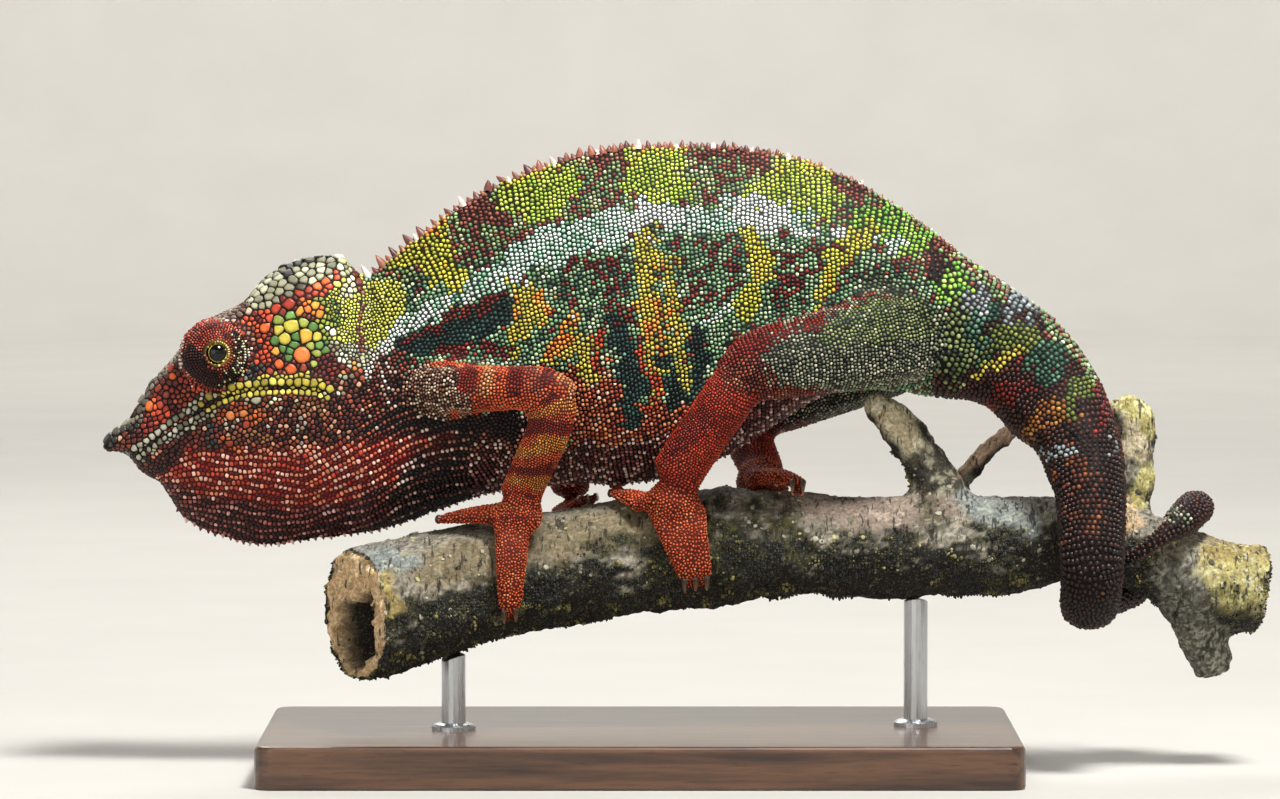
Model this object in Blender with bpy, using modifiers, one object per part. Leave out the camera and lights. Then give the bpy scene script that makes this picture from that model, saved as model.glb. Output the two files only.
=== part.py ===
"""Life-size panther chameleon gripping a cut branch, on a plain museum stand.

X runs from the snout (-X) to the tail (+X), Z is up and the animal's left flank faces -Y.
The origin is the middle of the base's underside. Sizes are in millimetres, and MM turns them to metres.
"""

import math

import bmesh
import bpy
import numpy as np
from mathutils import Vector

MM = 0.001
CUT = 0.3  # width of the thin cuts that part one piece from the next
GROWN = 0.36  # how far a neighbour is swollen before it trims a piece

# Driving dimensions
SNOUT_X = -113.0
NAPE_X = -57.8  # where head and neck meet
SHOULDER_X = -44.0  # where neck and trunk meet
VENT_X = 67.2  # where trunk and tail meet, measured on the back
CREST_END_X = 46.0
CREST_HALF_WIDTH = 0.7
BASE_SIZE = (158.0, 86.0, 9.0)
ROD_RADIUS = 2.5
ROD_X = (-39.0, 58.0)
ROD_INTO_BARK = 5.0

# Eyes: the left one's place, with its distance from the middle, and the way it looks
EYE = (-88.8, 8.2, 87.6)
GAZE = (0.06, 1.0, 0.03)
TURRET_RADIUS = 8.0
EYEBALL_RADIUS = 2.3
EYEBALL_SUNK = 1.7
SOCKET_DEPTH, SOCKET_RADIUS = 9.5, 7.2

# Outlines of head and trunk: (place along the back, height)
BACK = [
    (-113.0, 68.7), (-110.7, 71.8), (-106.9, 74.5), (-105.4, 77.9), (-103.3, 81.7), (-99.1, 86.1),
    (-93.5, 93.0), (-89.2, 96.2), (-84.4, 97.6), (-79.4, 103.5), (-73.5, 107.1), (-67.6, 108.4),
    (-61.8, 108.6), (-59.6, 106.4), (-57.8, 103.7), (-52.5, 107.8), (-37.8, 118.8), (-27.3, 124.2),
    (-14.7, 128.6), (0.0, 131.0), (14.7, 131.0), (29.4, 129.2), (44.1, 124.4), (56.7, 117.0), (67.2, 109.2),
]
UNDERSIDE = [
    (-113.0, 66.8), (-110.7, 66.1), (-107.8, 67.4), (-106.9, 64.2), (-103.3, 60.9), (-100.6, 60.0),
    (-99.1, 56.4), (-97.0, 52.7), (-89.2, 48.7), (-79.4, 46.4), (-67.6, 47.9), (-57.8, 49.1),
    (-46.2, 52.5), (-37.8, 55.6), (-27.3, 58.4), (-14.7, 59.4), (0.0, 59.8), (14.7, 63.6),
    (29.4, 71.8), (44.1, 78.8), (56.7, 79.4), (67.2, 77.7),
]
# How far the belly's point of a section lies behind its back's point
LEAN = [(14.7, 0.0), (29.4, -1.1), (44.1, -3.2), (56.7, -5.3), (67.2, -6.3)]

# Lines of the head, and its half-width along them
CREST_LINE = [
    (-113.0, 68.2), (-106.9, 72.4), (-97.0, 85.6), (-89.2, 93.4), (-79.4, 97.6), (-67.6, 100.8),
    (-62.4, 104.2), (-57.8, 101.6),
]
MOUTH_LINE = [
    (-113.0, 67.4), (-108.8, 68.4), (-106.9, 65.6), (-105.0, 66.8), (-100.8, 70.6), (-92.4, 75.2),
    (-84.0, 78.3), (-75.6, 80.0), (-67.2, 79.0), (-57.8, 76.9),
]
HEAD_WIDTHS = {
    "crest": [(-113.0, 1.2), (-110.7, 2.8), (-103.3, 4.8), (-93.5, 7.0), (-84.4, 8.0), (-73.5, 8.4),
              (-64.0, 6.2), (-57.8, 2.6)],
    "temple": [(-113.0, 1.7), (-110.7, 3.4), (-103.3, 5.6), (-93.5, 7.4), (-84.4, 8.8), (-73.5, 10.4),
               (-57.8, 9.2)],
    "lip": [(-113.0, 1.2), (-110.7, 2.8), (-106.9, 4.2), (-103.3, 6.2), (-93.5, 9.4), (-84.4, 11.4),
            (-73.5, 13.0), (-57.8, 12.0)],
    "throat": [(-113.0, 1.0), (-110.7, 1.8), (-105.4, 3.0), (-100.8, 5.2), (-93.5, 6.4), (-79.4, 8.6),
               (-57.8, 9.8)],
}
# Half-widths of neck and trunk at four heights: (share of the way from back to belly, width along the back)
TRUNK_WIDTHS = [
    (0.05, [(-57.8, 2.6), (0.0, 2.5), (30.0, 2.8), (67.2, 4.4)]),
    (0.33, [(-57.8, 9.2), (-27.0, 11.0), (5.0, 12.6), (40.0, 11.5), (67.2, 10.0)]),
    (0.60, [(-57.8, 12.0), (-27.0, 15.0), (5.0, 17.0), (30.0, 15.0), (67.2, 10.8)]),
    (0.86, [(-57.8, 9.8), (-27.0, 11.8), (5.0, 13.0), (30.0, 11.0), (67.2, 7.8)]),
]

# Tail down to the branch: back x and z, belly x and z, sideways place, half-width
TAIL_ROOT = [
    (67.2, 109.2, 60.9, 77.7, 0.0, 10.8),
    (77.7, 102.1, 68.2, 77.3, 0.0, 10.2),
    (86.1, 96.2, 73.5, 75.2, -1.0, 9.8),
    (93.5, 87.8, 78.1, 69.9, -3.5, 9.2),
    (98.3, 78.1, 82.5, 67.2, -7.5, 8.4),
    (101.0, 68.2, 84.4, 61.9, -12.0, 7.8),
    (101.4, 58.8, 85.8, 58.8, -15.8, 7.2),
]
# Coil round the branch, from the front (0 degrees) under it, behind it, over its top and down the front
# again: degrees, x, distance clear of the bark, half-thickness away from the branch, half-width along it
TAIL_COIL = [
    (12, 93.6, 8.4, 5.6, 7.1), (42, 93.6, 5.6, 5.0, 6.5), (68, 94.4, 2.2, 4.4, 5.9),
    (92, 97.0, 0.8, 4.0, 5.5), (135, 104.0, 0.8, 4.2, 5.0), (180, 110.5, 0.8, 4.4, 4.8),
    (225, 115.2, 0.8, 4.3, 4.5), (270, 117.0, 0.8, 4.0, 4.3), (300, 115.0, 0.8, 3.8, 4.0), (330, 110.4, 0.8, 3.4, 3.7),
    (356, 104.8, 0.8, 3.0, 3.3), (378, 100.0, 0.8, 2.3, 2.6), (398, 96.6, 0.8, 1.0, 1.1),
]
TAIL_RING_STEP = 4.3
TAIL_NODES = [  # name, and the shares of the tail's length where it starts and stops
    ("tail_root", 0.0, 0.2), ("tail_bend", 0.2, 0.42), ("tail_coil_front", 0.42, 0.61),
    ("tail_coil_back", 0.61, 0.79), ("tail_tip", 0.79, 1.0),
]

# The perch's axis and radius, and its broken side branches as axis points and radii
BRANCH = [
    (-63.0, -17.4, 32.8, 14.0), (-50.4, -12.0, 35.7, 14.0), (-29.4, -5.5, 40.7, 13.2),
    (-8.4, -2.0, 43.9, 12.8), (12.6, 0.0, 46.4, 12.8), (33.6, 0.0, 47.5, 11.5), (54.6, 0.0, 46.6, 11.2),
    (75.6, 0.0, 47.2, 11.0), (88.0, 0.0, 48.4, 9.6), (97.0, 0.0, 48.4, 8.0), (107.1, 0.4, 45.4, 8.6),
    (118.6, 1.5, 39.6, 10.0), (131.0, 3.0, 37.6, 10.2),
]
BRANCH_RING_STEP = 8.4
BREAK_FACING = (1.0, 0.62, 0.05)  # away from the slanting break at the left end
BREAK_CUTTER_SIZE = 60.0
BREAK_CUTTER_PLACE = (-84.5, -34.0, 33.0)
STUBS = {
    "perch_stub_left": [(64.5, 2.0, 54.0, 7.5), (60.0, 3.0, 64.5, 5.2), (54.6, 3.5, 72.0, 5.0),
                        (48.6, 3.5, 77.6, 3.4)],
    "perch_twig": [(64.5, 9.0, 54.5, 2.8), (72.5, 10.5, 65.6, 3.0), (79.0, 11.5, 71.0, 2.4)],
    "perch_stub_right": [(102.6, 3.0, 50.0, 5.2), (103.6, 4.5, 62.0, 4.6), (104.2, 5.2, 70.0, 5.4),
                         (101.0, 5.6, 77.6, 4.4)],
    "perch_fork": [(113.5, 2.0, 39.0, 6.6), (117.6, 2.5, 30.0, 6.0), (121.6, 3.0, 20.5, 5.2)],
}

# Limbs from the body outwards: axis point, half-width seen from the side, half-width in depth
UPPER_ARM_SIZES = [(5.6, 5.0), (6.2, 5.4), (5.7, 5.2), (5.2, 4.8), (4.9, 4.5), (3.2, 3.0)]
LIMBS = {
    "upper_arm_left": (
        [(-50.0, -5.0, 79.6), (-44.5, -10.5, 80.4), (-37.0, -16.0, 80.8), (-28.0, -20.6, 81.2),
         (-19.5, -23.6, 81.6), (-14.6, -24.4, 80.6)],
        UPPER_ARM_SIZES),
    "upper_arm_right": (
        [(-50.0, 5.0, 79.6), (-44.5, 10.5, 80.2), (-37.0, 16.0, 80.0), (-28.0, 20.6, 79.6),
         (-19.5, 23.6, 79.0), (-13.6, 24.6, 77.8)],
        UPPER_ARM_SIZES),
    "forearm_left": (
        [(-18.0, -24.2, 82.0), (-17.4, -23.6, 77.4), (-19.6, -21.6, 70.6), (-22.6, -18.9, 64.0),
         (-25.0, -16.4, 58.2)],
        [(4.2, 3.8), (5.2, 4.5), (5.2, 4.3), (5.0, 4.1), (5.1, 4.0)]),
    "forearm_right": (
        [(-15.6, 24.4, 80.0), (-14.6, 23.8, 75.6), (-14.2, 21.6, 69.6), (-14.6, 18.8, 63.0),
         (-15.0, 16.4, 57.4)],
        [(4.2, 3.8), (5.3, 4.6), (5.0, 4.3), (4.8, 4.1), (4.8, 4.0)]),
    "thigh_left": (
        [(58.6, -4.0, 91.6), (55.4, -9.0, 91.4), (48.6, -13.6, 90.4), (39.5, -17.6, 88.8),
         (30.0, -20.0, 87.2), (22.6, -20.6, 85.4), (17.6, -20.4, 83.6)],
        [(9.4, 6.5), (10.6, 7.2), (10.2, 7.2), (9.3, 6.8), (8.8, 6.4), (7.6, 5.8), (4.4, 3.6)]),
    "thigh_right": (
        [(56.2, 4.0, 88.8), (52.6, 9.6, 87.2), (46.0, 14.6, 84.0), (36.0, 19.4, 79.6),
         (27.0, 23.0, 75.6), (20.6, 24.6, 72.8)],
        [(8.6, 6.5), (10.0, 7.2), (9.4, 7.0), (8.6, 6.6), (7.6, 6.0), (4.6, 4.0)]),
    "shin_left": (
        [(23.0, -21.0, 88.0), (19.6, -20.8, 81.4), (15.6, -19.0, 75.0), (11.4, -17.0, 69.0),
         (7.4, -14.9, 62.6)],
        [(4.6, 4.0), (6.2, 5.0), (5.9, 4.8), (6.0, 4.6), (6.2, 4.2)]),
    "shin_right": (
        [(20.4, 26.4, 76.6), (21.6, 24.4, 71.6), (23.4, 20.0, 67.4), (25.0, 15.2, 64.0),
         (26.2, 11.2, 61.4)],
        [(4.4, 4.0), (5.8, 5.0), (5.6, 4.8), (5.4, 4.6), (5.4, 4.2)]),
}
LIMB_RING_STEP = 4.8
LIMB_SIDES = 8

# Feet: each grips the branch with two bundles of toes. Angles are round the branch from its top, positive
# towards the front. A palm is x, angle and radius. A bundle is its toes, then angle, x, spacing and toe
# radius, each from root to tip.
FEET = {
    "forefoot_left": {"palm": (-24.9, 42.0, 5.2), "bundles": [
        (2, (44, 112), (-26.4, -27.0), (3.6, 2.4), (2.7, 1.7)),
        (3, (32, 8), (-27.6, -40.0), (2.6, 2.0), (2.6, 1.6))]},
    "forefoot_right": {"palm": (-15.0, -58.0, 4.8), "bundles": [
        (2, (-62, -122), (-15.4, -16.4), (3.6, 2.4), (2.6, 1.7)),
        (3, (-50, -26), (-14.6, -11.0), (2.4, 1.8), (1.8, 1.3))]},
    "hindfoot_left": {"palm": (6.6, 48.0, 5.6), "bundles": [
        (3, (52, 108), (7.6, 11.6), (3.8, 2.3), (2.8, 1.8)),
        (2, (44, 16), (2.0, -5.0), (3.2, 2.4), (2.4, 1.5))]},
    "hindfoot_right": {"palm": (25.6, -36.0, 5.6), "bundles": [
        (3, (-40, -108), (26.0, 27.0), (3.6, 2.3), (2.7, 1.8)),
        (2, (-24, 20), (25.0, 33.0), (3.2, 2.2), (2.5, 1.7))]},
}
TOE_CLEAR = 0.5  # between toe and bark
CLAW_REACH = 17.0  # degrees round the branch
CLAW_TAPER = [(0.0, 0.85), (0.5, 0.68), (1.1, 0.28)]  # (share of the reach, half-thickness)
FOOT_VOXEL = 0.55
FOOT_TRIANGLES = 200  # of a foot's smooth surface, before its claws are joined

MATERIALS = {  # sRGB hex, roughness, metallic
    "hide_green": ("6F9A3A", 0.55, 0.0),
    "hide_red": ("8C2F22", 0.55, 0.0),
    "hide_casque": ("8E9684", 0.5, 0.0),
    "hide_turret": ("8A3420", 0.5, 0.0),
    "eye": ("15110D", 0.08, 0.0),
    "bark": ("6E6A52", 0.9, 0.0),
    "stand_wood": ("3A2A20", 0.4, 0.0),
    "stand_steel": ("B9BBBD", 0.3, 1.0),
}


# Curves -----------------------------------------------------------------------------------------------


def through(pairs):
    """A smooth function through (x, value) pairs that doesn't overshoot between them."""
    xs, ys = np.array(pairs, float).T
    steps = np.diff(xs)
    slopes = np.diff(ys) / steps
    tangents = np.concatenate([slopes[:1], np.zeros(len(xs) - 2), slopes[-1:]])
    for i in range(1, len(xs) - 1):
        before, after = slopes[i - 1], slopes[i]
        if before * after > 0:
            tangents[i] = 2 * before * after / (before + after)

    def value(x):
        x = float(np.clip(x, xs[0], xs[-1]))
        i = int(np.clip(np.searchsorted(xs, x) - 1, 0, len(steps) - 1))
        h = steps[i]
        t = (x - xs[i]) / h
        start = (2 * t**3 - 3 * t**2 + 1) * ys[i] + (t**3 - 2 * t**2 + t) * h * tangents[i]
        stop = (3 * t**2 - 2 * t**3) * ys[i + 1] + (t**3 - t**2) * h * tangents[i + 1]
        return start + stop

    return value


def rounded(points, per_segment, closed=False):
    """Points on the smooth curve (Catmull-Rom) through the rows of an array."""
    rows = np.array(points, float)
    if closed:
        padded = np.vstack([rows[-1], rows, rows[0], rows[1]])
    else:
        padded = np.vstack([2 * rows[0] - rows[1], rows, 2 * rows[-1] - rows[-2]])
    out = []
    for i in range(1, len(padded) - 2):
        a, b, c, d = padded[i - 1:i + 3]
        for t in np.arange(per_segment) / per_segment:
            straight = 2 * b + (c - a) * t
            bend = (2 * a - 5 * b + 4 * c - d) * t**2 + (3 * b - a - 3 * c + d) * t**3
            out.append((straight + bend) / 2)
    if not closed:
        out.append(rows[-1])
    return np.array(out)


def evenly(rows, step):
    """The rows of a smooth path, whose first three columns are a place, read again at an even distance."""
    lengths = np.linalg.norm(np.diff(rows[:, :3], axis=0), axis=1)
    along = np.concatenate([[0], np.cumsum(lengths)])
    count = max(2, int(round(along[-1] / step)) + 1)
    wanted = np.linspace(0, along[-1], count)
    return np.column_stack([np.interp(wanted, along, column) for column in rows.T])


# Meshes -----------------------------------------------------------------------------------------------


def add_mesh(name, bm, collection):
    bmesh.ops.remove_doubles(bm, verts=bm.verts, dist=1e-6)
    bmesh.ops.recalc_face_normals(bm, faces=bm.faces)
    mesh = bpy.data.meshes.new(name)
    bm.to_mesh(mesh)
    bm.free()
    obj = bpy.data.objects.new(name, mesh)
    collection.objects.link(obj)
    return obj


def take_primitive(name, collection):
    """Names the primitive that was just added, and moves it to its collection."""
    obj = bpy.context.object
    obj.name = name
    for home in list(obj.users_collection):
        home.objects.unlink(obj)
    collection.objects.link(obj)
    return obj


def loft(name, rings, collection):
    """A closed solid through rings of points, capped at both ends."""
    bm = bmesh.new()
    rows = [[bm.verts.new(Vector(point) * MM) for point in ring] for ring in rings]
    for near, far in zip(rows, rows[1:]):
        for i in range(len(near)):
            j = (i + 1) % len(near)
            bm.faces.new((near[i], near[j], far[j], far[i]))
    bm.faces.new(rows[0])
    bm.faces.new(reversed(rows[-1]))
    return add_mesh(name, bm, collection)


def tube_rings(rows, sides, ups=None):
    """Elliptic rings along a path: a row is a place, its half-size along its up vector and that across it.

    Where no up vectors are given, up is square to the path as the side view shows it.
    """
    tangents = np.gradient(rows[:, :3], axis=0)
    angles = 2 * math.pi * np.arange(sides) / sides
    rings = []
    for i, row in enumerate(rows):
        tangent = tangents[i] / np.linalg.norm(tangents[i])
        if ups is None:
            up = np.array((-tangent[2], 0.0, tangent[0]))
            up = up - tangent * (up @ tangent)
        else:
            up = np.array(ups[i])
        up = up / np.linalg.norm(up)
        side = np.cross(tangent, up)
        side = side / np.linalg.norm(side)
        rings.append([row[:3] + up * row[3] * math.cos(a) + side * row[4] * math.sin(a) for a in angles])
    return rings


def round_ends(rows, length, shrink=0.55):
    """Adds a smaller ring just past each end, so that a tube ends in a rounded cap."""
    first, last = rows[0].copy(), rows[-1].copy()
    first[:3] += (rows[0, :3] - rows[1, :3]) / np.linalg.norm(rows[0, :3] - rows[1, :3]) * length
    last[:3] += (rows[-1, :3] - rows[-2, :3]) / np.linalg.norm(rows[-1, :3] - rows[-2, :3]) * length
    first[3:5] *= shrink
    last[3:5] *= shrink
    return np.vstack([first, rows, last])


def hide(obj):
    obj.hide_render = True
    obj.display_type = "WIRE"
    return obj


def prism(name, outline, collection, half_depth=45.0):
    """A cutter: an outline in the X-Z plane drawn out along Y."""
    rings = [[(x, side * half_depth, z) for x, z in outline] for side in (-1, 1)]
    return hide(loft(name, rings, collection))


def settle(obj):
    """Turns an object's modifiers into its own mesh."""
    bpy.context.view_layer.update()
    graph = bpy.context.evaluated_depsgraph_get()
    mesh = bpy.data.meshes.new_from_object(obj.evaluated_get(graph))
    obj.modifiers.clear()
    obj.data = mesh
    return obj


def combine(obj, other, operation, solver="EXACT"):
    boolean = obj.modifiers.new(operation.lower(), "BOOLEAN")
    boolean.operation = operation
    boolean.solver = solver
    boolean.object = other
    return settle(obj)


def copy_of(obj, name, collection):
    bpy.context.view_layer.update()
    twin = bpy.data.objects.new(name, obj.data.copy())
    twin.matrix_world = obj.matrix_world
    collection.objects.link(twin)
    return twin


def trim(obj, neighbour, cutters):
    """Cuts obj back to a thin gap from its neighbour.

    A swollen copy can cross itself in a fold, where the exact solver leaves the overlap uncut. It is thin at
    a sharp rim, so the neighbour itself cuts too.
    """
    swollen = hide(copy_of(neighbour, f"{obj.name}_trimmed_by_{neighbour.name}", cutters))
    normals = [vertex.normal.copy() for vertex in swollen.data.vertices]
    for vertex, normal in zip(swollen.data.vertices, normals):
        vertex.co += normal * GROWN * MM
    for cutter in (swollen, neighbour):
        combine(obj, cutter, "DIFFERENCE", "MANIFOLD")


def connected(start, left):
    """The vertices joined to one by edges, taken out of the set of those left."""
    group, front = {start}, [start]
    while front:
        vertex = front.pop()
        for edge in vertex.link_edges:
            other = edge.other_vert(vertex)
            if other in left:
                left.discard(other)
                group.add(other)
                front.append(other)
    return group


def largest_body(obj):
    """Drops the loose crumbs that a cut can leave beside the main body."""
    bm = bmesh.new()
    bm.from_mesh(obj.data)
    left, groups = set(bm.verts), []
    while left:
        groups.append(connected(left.pop(), left))
    keep = max(groups, key=len)
    bmesh.ops.delete(bm, geom=[vertex for vertex in bm.verts if vertex not in keep], context="VERTS")
    bm.to_mesh(obj.data)
    bm.free()
    return obj


# Head, neck and trunk ---------------------------------------------------------------------------------

back, underside, lean = through(BACK), through(UNDERSIDE), through(LEAN)
crest_line, mouth_line = through(CREST_LINE), through(MOUTH_LINE)
head_widths = [through(line) for line in HEAD_WIDTHS.values()]
trunk_widths = [(share, through(line)) for share, line in TRUNK_WIDTHS]


def body_levels(x):
    """(share of the way from back to belly, half-width) at the four heights of a section."""
    if x >= NAPE_X:
        return [(share, width(x)) for share, width in trunk_widths]
    top, bottom, crest_z, mouth_z = back(x), underside(x), crest_line(x), mouth_line(x)
    heights = (crest_z, (crest_z + mouth_z) / 2, mouth_z, mouth_z - 0.55 * (mouth_z - bottom))
    levels = []
    for i, (z, width) in enumerate(zip(heights, head_widths)):
        share = (top - z) / (top - bottom)
        levels.append((min(max(share, 0.04 + 0.1 * i), 0.6 + 0.1 * i), width(x)))
    return levels


def body_ring(x):
    """A section of head or trunk: a smooth closed curve through top, bottom and four points on each side."""
    top = np.array((x, 0.0, back(x)))
    bottom = np.array((x + lean(x), 0.0, underside(x)))
    outward = np.array((0.0, 1.0, 0.0))
    levels = body_levels(x)
    right = [top + (bottom - top) * share + outward * width for share, width in levels]
    left = [top + (bottom - top) * share - outward * width for share, width in reversed(levels)]
    return rounded([top, *right, bottom, *left], 2, closed=True)


def body_length(name, start, stop, step, collection):
    count = max(2, int(round((stop - start) / step)) + 1)
    return loft(name, [body_ring(x) for x in np.linspace(start, stop, count)], collection)


def make_head(parts, cutters):
    """Head, casque and lower jaw: one form parted along the side crest and the mouth."""
    places = [*np.linspace(SNOUT_X, -99.4, 8), *np.linspace(-96.0, NAPE_X - CUT, 10)]
    head = loft("head", [body_ring(x) for x in places], parts)

    lips = [(x, mouth_line(x)) for x in np.linspace(-107.0, NAPE_X + 2, 9)]
    corners = [(-109.0, 40.0), (-109.0, 60.5), (-109.0, lips[0][1])]
    behind = (NAPE_X + 2, 40.0)
    jaw = copy_of(head, "lower_jaw", parts)
    combine(jaw, prism("below_mouth", [*corners, *lips, behind], cutters), "INTERSECT")
    raised = [(x, z + CUT) for x, z in lips]
    combine(head, prism("below_mouth_raised", [*corners, *raised, behind], cutters), "DIFFERENCE")

    along = [(x, crest_line(x) - 0.6) for x in np.linspace(-84.0, -59.5, 5)]
    ridge = [(-88.0, 97.0), *along, (-54.0, 104.0)]
    roof = [(-54.0, 118.0), (-88.0, 118.0)]
    casque = copy_of(head, "casque", parts)
    combine(casque, prism("above_crest", [*ridge, *roof], cutters), "INTERSECT")
    lowered = [(x, z - CUT) for x, z in ridge]
    combine(head, prism("above_crest_lowered", [*lowered, *roof], cutters), "DIFFERENCE")
    return [largest_body(obj) for obj in (head, jaw, casque)]


def add_sphere(name, place, radius, segments, rings, collection):
    """A sphere with its poles on the Y axis."""
    bpy.ops.mesh.primitive_uv_sphere_add(segments=segments, ring_count=rings, radius=radius * MM,
                                         location=Vector(place) * MM, rotation=(math.pi / 2, 0, 0))
    return take_primitive(name, collection)


def make_eye(side, sign, head_parts, parts, cutters):
    """A turret of skin with a small hole, in its socket, and the eyeball that shows in the hole."""
    centre = Vector((EYE[0], sign * EYE[1], EYE[2]))
    gaze = Vector((GAZE[0], sign * GAZE[1], GAZE[2])).normalized()
    turret = add_sphere(f"eye_turret_{side}", centre, TURRET_RADIUS, 12, 8, parts)
    ball_place = centre + gaze * (TURRET_RADIUS - EYEBALL_SUNK)
    ball = add_sphere(f"eyeball_{side}", ball_place, EYEBALL_RADIUS, 10, 6, parts)
    for part in head_parts:
        trim(part, turret, cutters)
    root = hide(add_sphere(f"eye_root_{side}", centre - gaze * SOCKET_DEPTH, SOCKET_RADIUS, 10, 6, cutters))
    combine(turret, root, "DIFFERENCE")
    trim(turret, ball, cutters)
    return largest_body(turret), ball


def crest(name, start, stop, collection):
    """The ridge of pointed scales along the back, tallest at the nape, as one toothed blade."""
    teeth = []
    x = start
    while x < stop:
        age = (x - NAPE_X) / (VENT_X - NAPE_X)
        height, spacing = 2.2 - 1.4 * age, 3.3 - 0.5 * age
        teeth += [(x, back(x) + 0.1), (x + 0.3 * spacing, back(x) + height)]
        x += spacing
    root = [(x, back(x) - 1.4) for x in np.linspace(teeth[-1][0] + 1.2, start, 6)]
    return prism(name, teeth + root, collection, CREST_HALF_WIDTH)


def make_body(parts, cutters):
    neck = body_length("neck", NAPE_X, SHOULDER_X - CUT, 4.6, parts)
    trunk = body_length("trunk", SHOULDER_X, VENT_X - CUT, 5.8, parts)
    combine(neck, crest("nape_crest", NAPE_X + 1.4, SHOULDER_X - 2.4, cutters), "UNION")
    combine(trunk, crest("back_crest", SHOULDER_X + 0.8, CREST_END_X, cutters), "UNION")
    return neck, trunk


# Tail -------------------------------------------------------------------------------------------------


def branch_at(x):
    """Sideways place, height and radius of the branch at x."""
    rows = np.array(BRANCH)
    return np.array([np.interp(x, rows[:, 0], rows[:, i]) for i in (1, 2, 3)])


def tail_path():
    """Rows of place, half-height, half-width and up vector, from inside the trunk to the tip."""
    vent = TAIL_ROOT[0]
    inside = (VENT_X - 6, back(VENT_X - 6), vent[2] - 3, vent[3] + 0.4, vent[4], vent[5])
    rows = []
    for back_x, back_z, belly_x, belly_z, y, half_width in (inside, *TAIL_ROOT):
        rise = np.array((back_x - belly_x, 0.0, back_z - belly_z))
        height = np.linalg.norm(rise)
        place = ((back_x + belly_x) / 2, y, (back_z + belly_z) / 2)
        rows.append([*place, height / 2, half_width, *(rise / height)])
    for degrees, x, clear, thick, wide in TAIL_COIL:
        y, z, radius = branch_at(x)
        angle = math.radians(degrees)
        reach = radius + clear + thick
        place = (x, y - math.cos(angle) * reach, z - math.sin(angle) * reach)
        rows.append([*place, wide, thick, 1.0, 0.0, 0.0])
    return evenly(rounded(rows, 12), TAIL_RING_STEP)


def make_tail(parts):
    """The tail's lengths: one run of rings, parted where each length ends."""
    rows = tail_path()
    rings = tube_rings(rows[:, :5], 12, rows[:, 5:8])
    made = []
    for name, start, stop in TAIL_NODES:
        low, high = (int(round(share * (len(rows) - 1))) for share in (start, stop))
        step = rows[low + 1, :3] - rows[low, :3]
        apart = step / np.linalg.norm(step) * CUT
        made.append(loft(name, [[point + apart for point in rings[low]], *rings[low + 1:high + 1]], parts))
    return made


# Legs and feet ----------------------------------------------------------------------------------------


def make_limb(name, parts):
    points, sizes = LIMBS[name]
    rows = rounded([[*place, *size] for place, size in zip(points, sizes)], 8)
    return loft(name, tube_rings(round_ends(evenly(rows, LIMB_RING_STEP), 1.6), LIMB_SIDES), parts)


def on_branch(x, degrees, reach):
    """A point above the bark at x, at an angle round the branch from its top."""
    y, z, radius = branch_at(x)
    angle = math.radians(degrees)
    return np.array((x, y - math.sin(angle) * (radius + reach), z + math.cos(angle) * (radius + reach)))


def away_from_branch(rows):
    """Up vectors that point away from the branch's axis."""
    return [(0.0, row[1] - branch_at(row[0])[0], row[2] - branch_at(row[0])[1]) for row in rows]


def toe_rows(bundle, offset):
    """A toe's path round the branch, with its radius twice in each row."""
    _, angles, xs, spacings, radii = bundle
    rows = []
    for t in np.linspace(0, 1, 7):
        now = [first + (last - first) * t for first, last in (angles, xs, spacings, radii)]
        angle, x, spacing, radius = now
        rows.append([*on_branch(x + offset * spacing, angle, radius + TOE_CLEAR), radius, radius])
    return round_ends(np.array(rows), 0.9)


def claw_rows(bundle, offset):
    """A claw's path from its toe's tip down to the bark."""
    _, angles, xs, spacings, radii = bundle
    turn = math.copysign(CLAW_REACH, angles[1] - angles[0])
    x = xs[1] + offset * spacings[1]
    rows = []
    for t, size in CLAW_TAPER:
        reach = radii[1] * (1.25 - 0.55 * t) + 0.35
        rows.append([*on_branch(x, angles[1] + turn * t, reach), size, size])
    return np.array(rows)


def join_tube(foot, rows, sides, parts):
    tube = loft(f"{foot.name}_part", tube_rings(rows, sides, away_from_branch(rows)), parts)
    combine(foot, tube, "UNION", "MANIFOLD")
    bpy.data.objects.remove(tube)


def make_foot(name, parts):
    """A palm and two bundles of fused toes, each toe with its claw."""
    x, degrees, size = FEET[name]["palm"]
    bundles = FEET[name]["bundles"]
    bm = bmesh.new()
    bmesh.ops.create_uvsphere(bm, u_segments=12, v_segments=8, radius=size * MM)
    bmesh.ops.scale(bm, verts=bm.verts, vec=(1.05, 0.9, 0.9))
    bmesh.ops.translate(bm, verts=bm.verts, vec=Vector(on_branch(x, degrees, size * 0.85)) * MM)
    foot = add_mesh(name, bm, parts)
    toes = [(bundle, toe - (bundle[0] - 1) / 2) for bundle in bundles for toe in range(bundle[0])]
    for bundle, offset in toes:
        join_tube(foot, toe_rows(bundle, offset), 10, parts)
    fuse = foot.modifiers.new("fuse", "REMESH")
    fuse.mode = "VOXEL"
    fuse.voxel_size = FOOT_VOXEL * MM
    soften = foot.modifiers.new("soften", "SMOOTH")
    soften.factor = 0.5
    soften.iterations = 3
    settle(foot)
    thin = foot.modifiers.new("thin", "DECIMATE")
    thin.ratio = FOOT_TRIANGLES / (2 * len(foot.data.polygons))
    settle(foot)
    for bundle, offset in toes:
        join_tube(foot, claw_rows(bundle, offset), 5, parts)
    return foot


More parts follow.
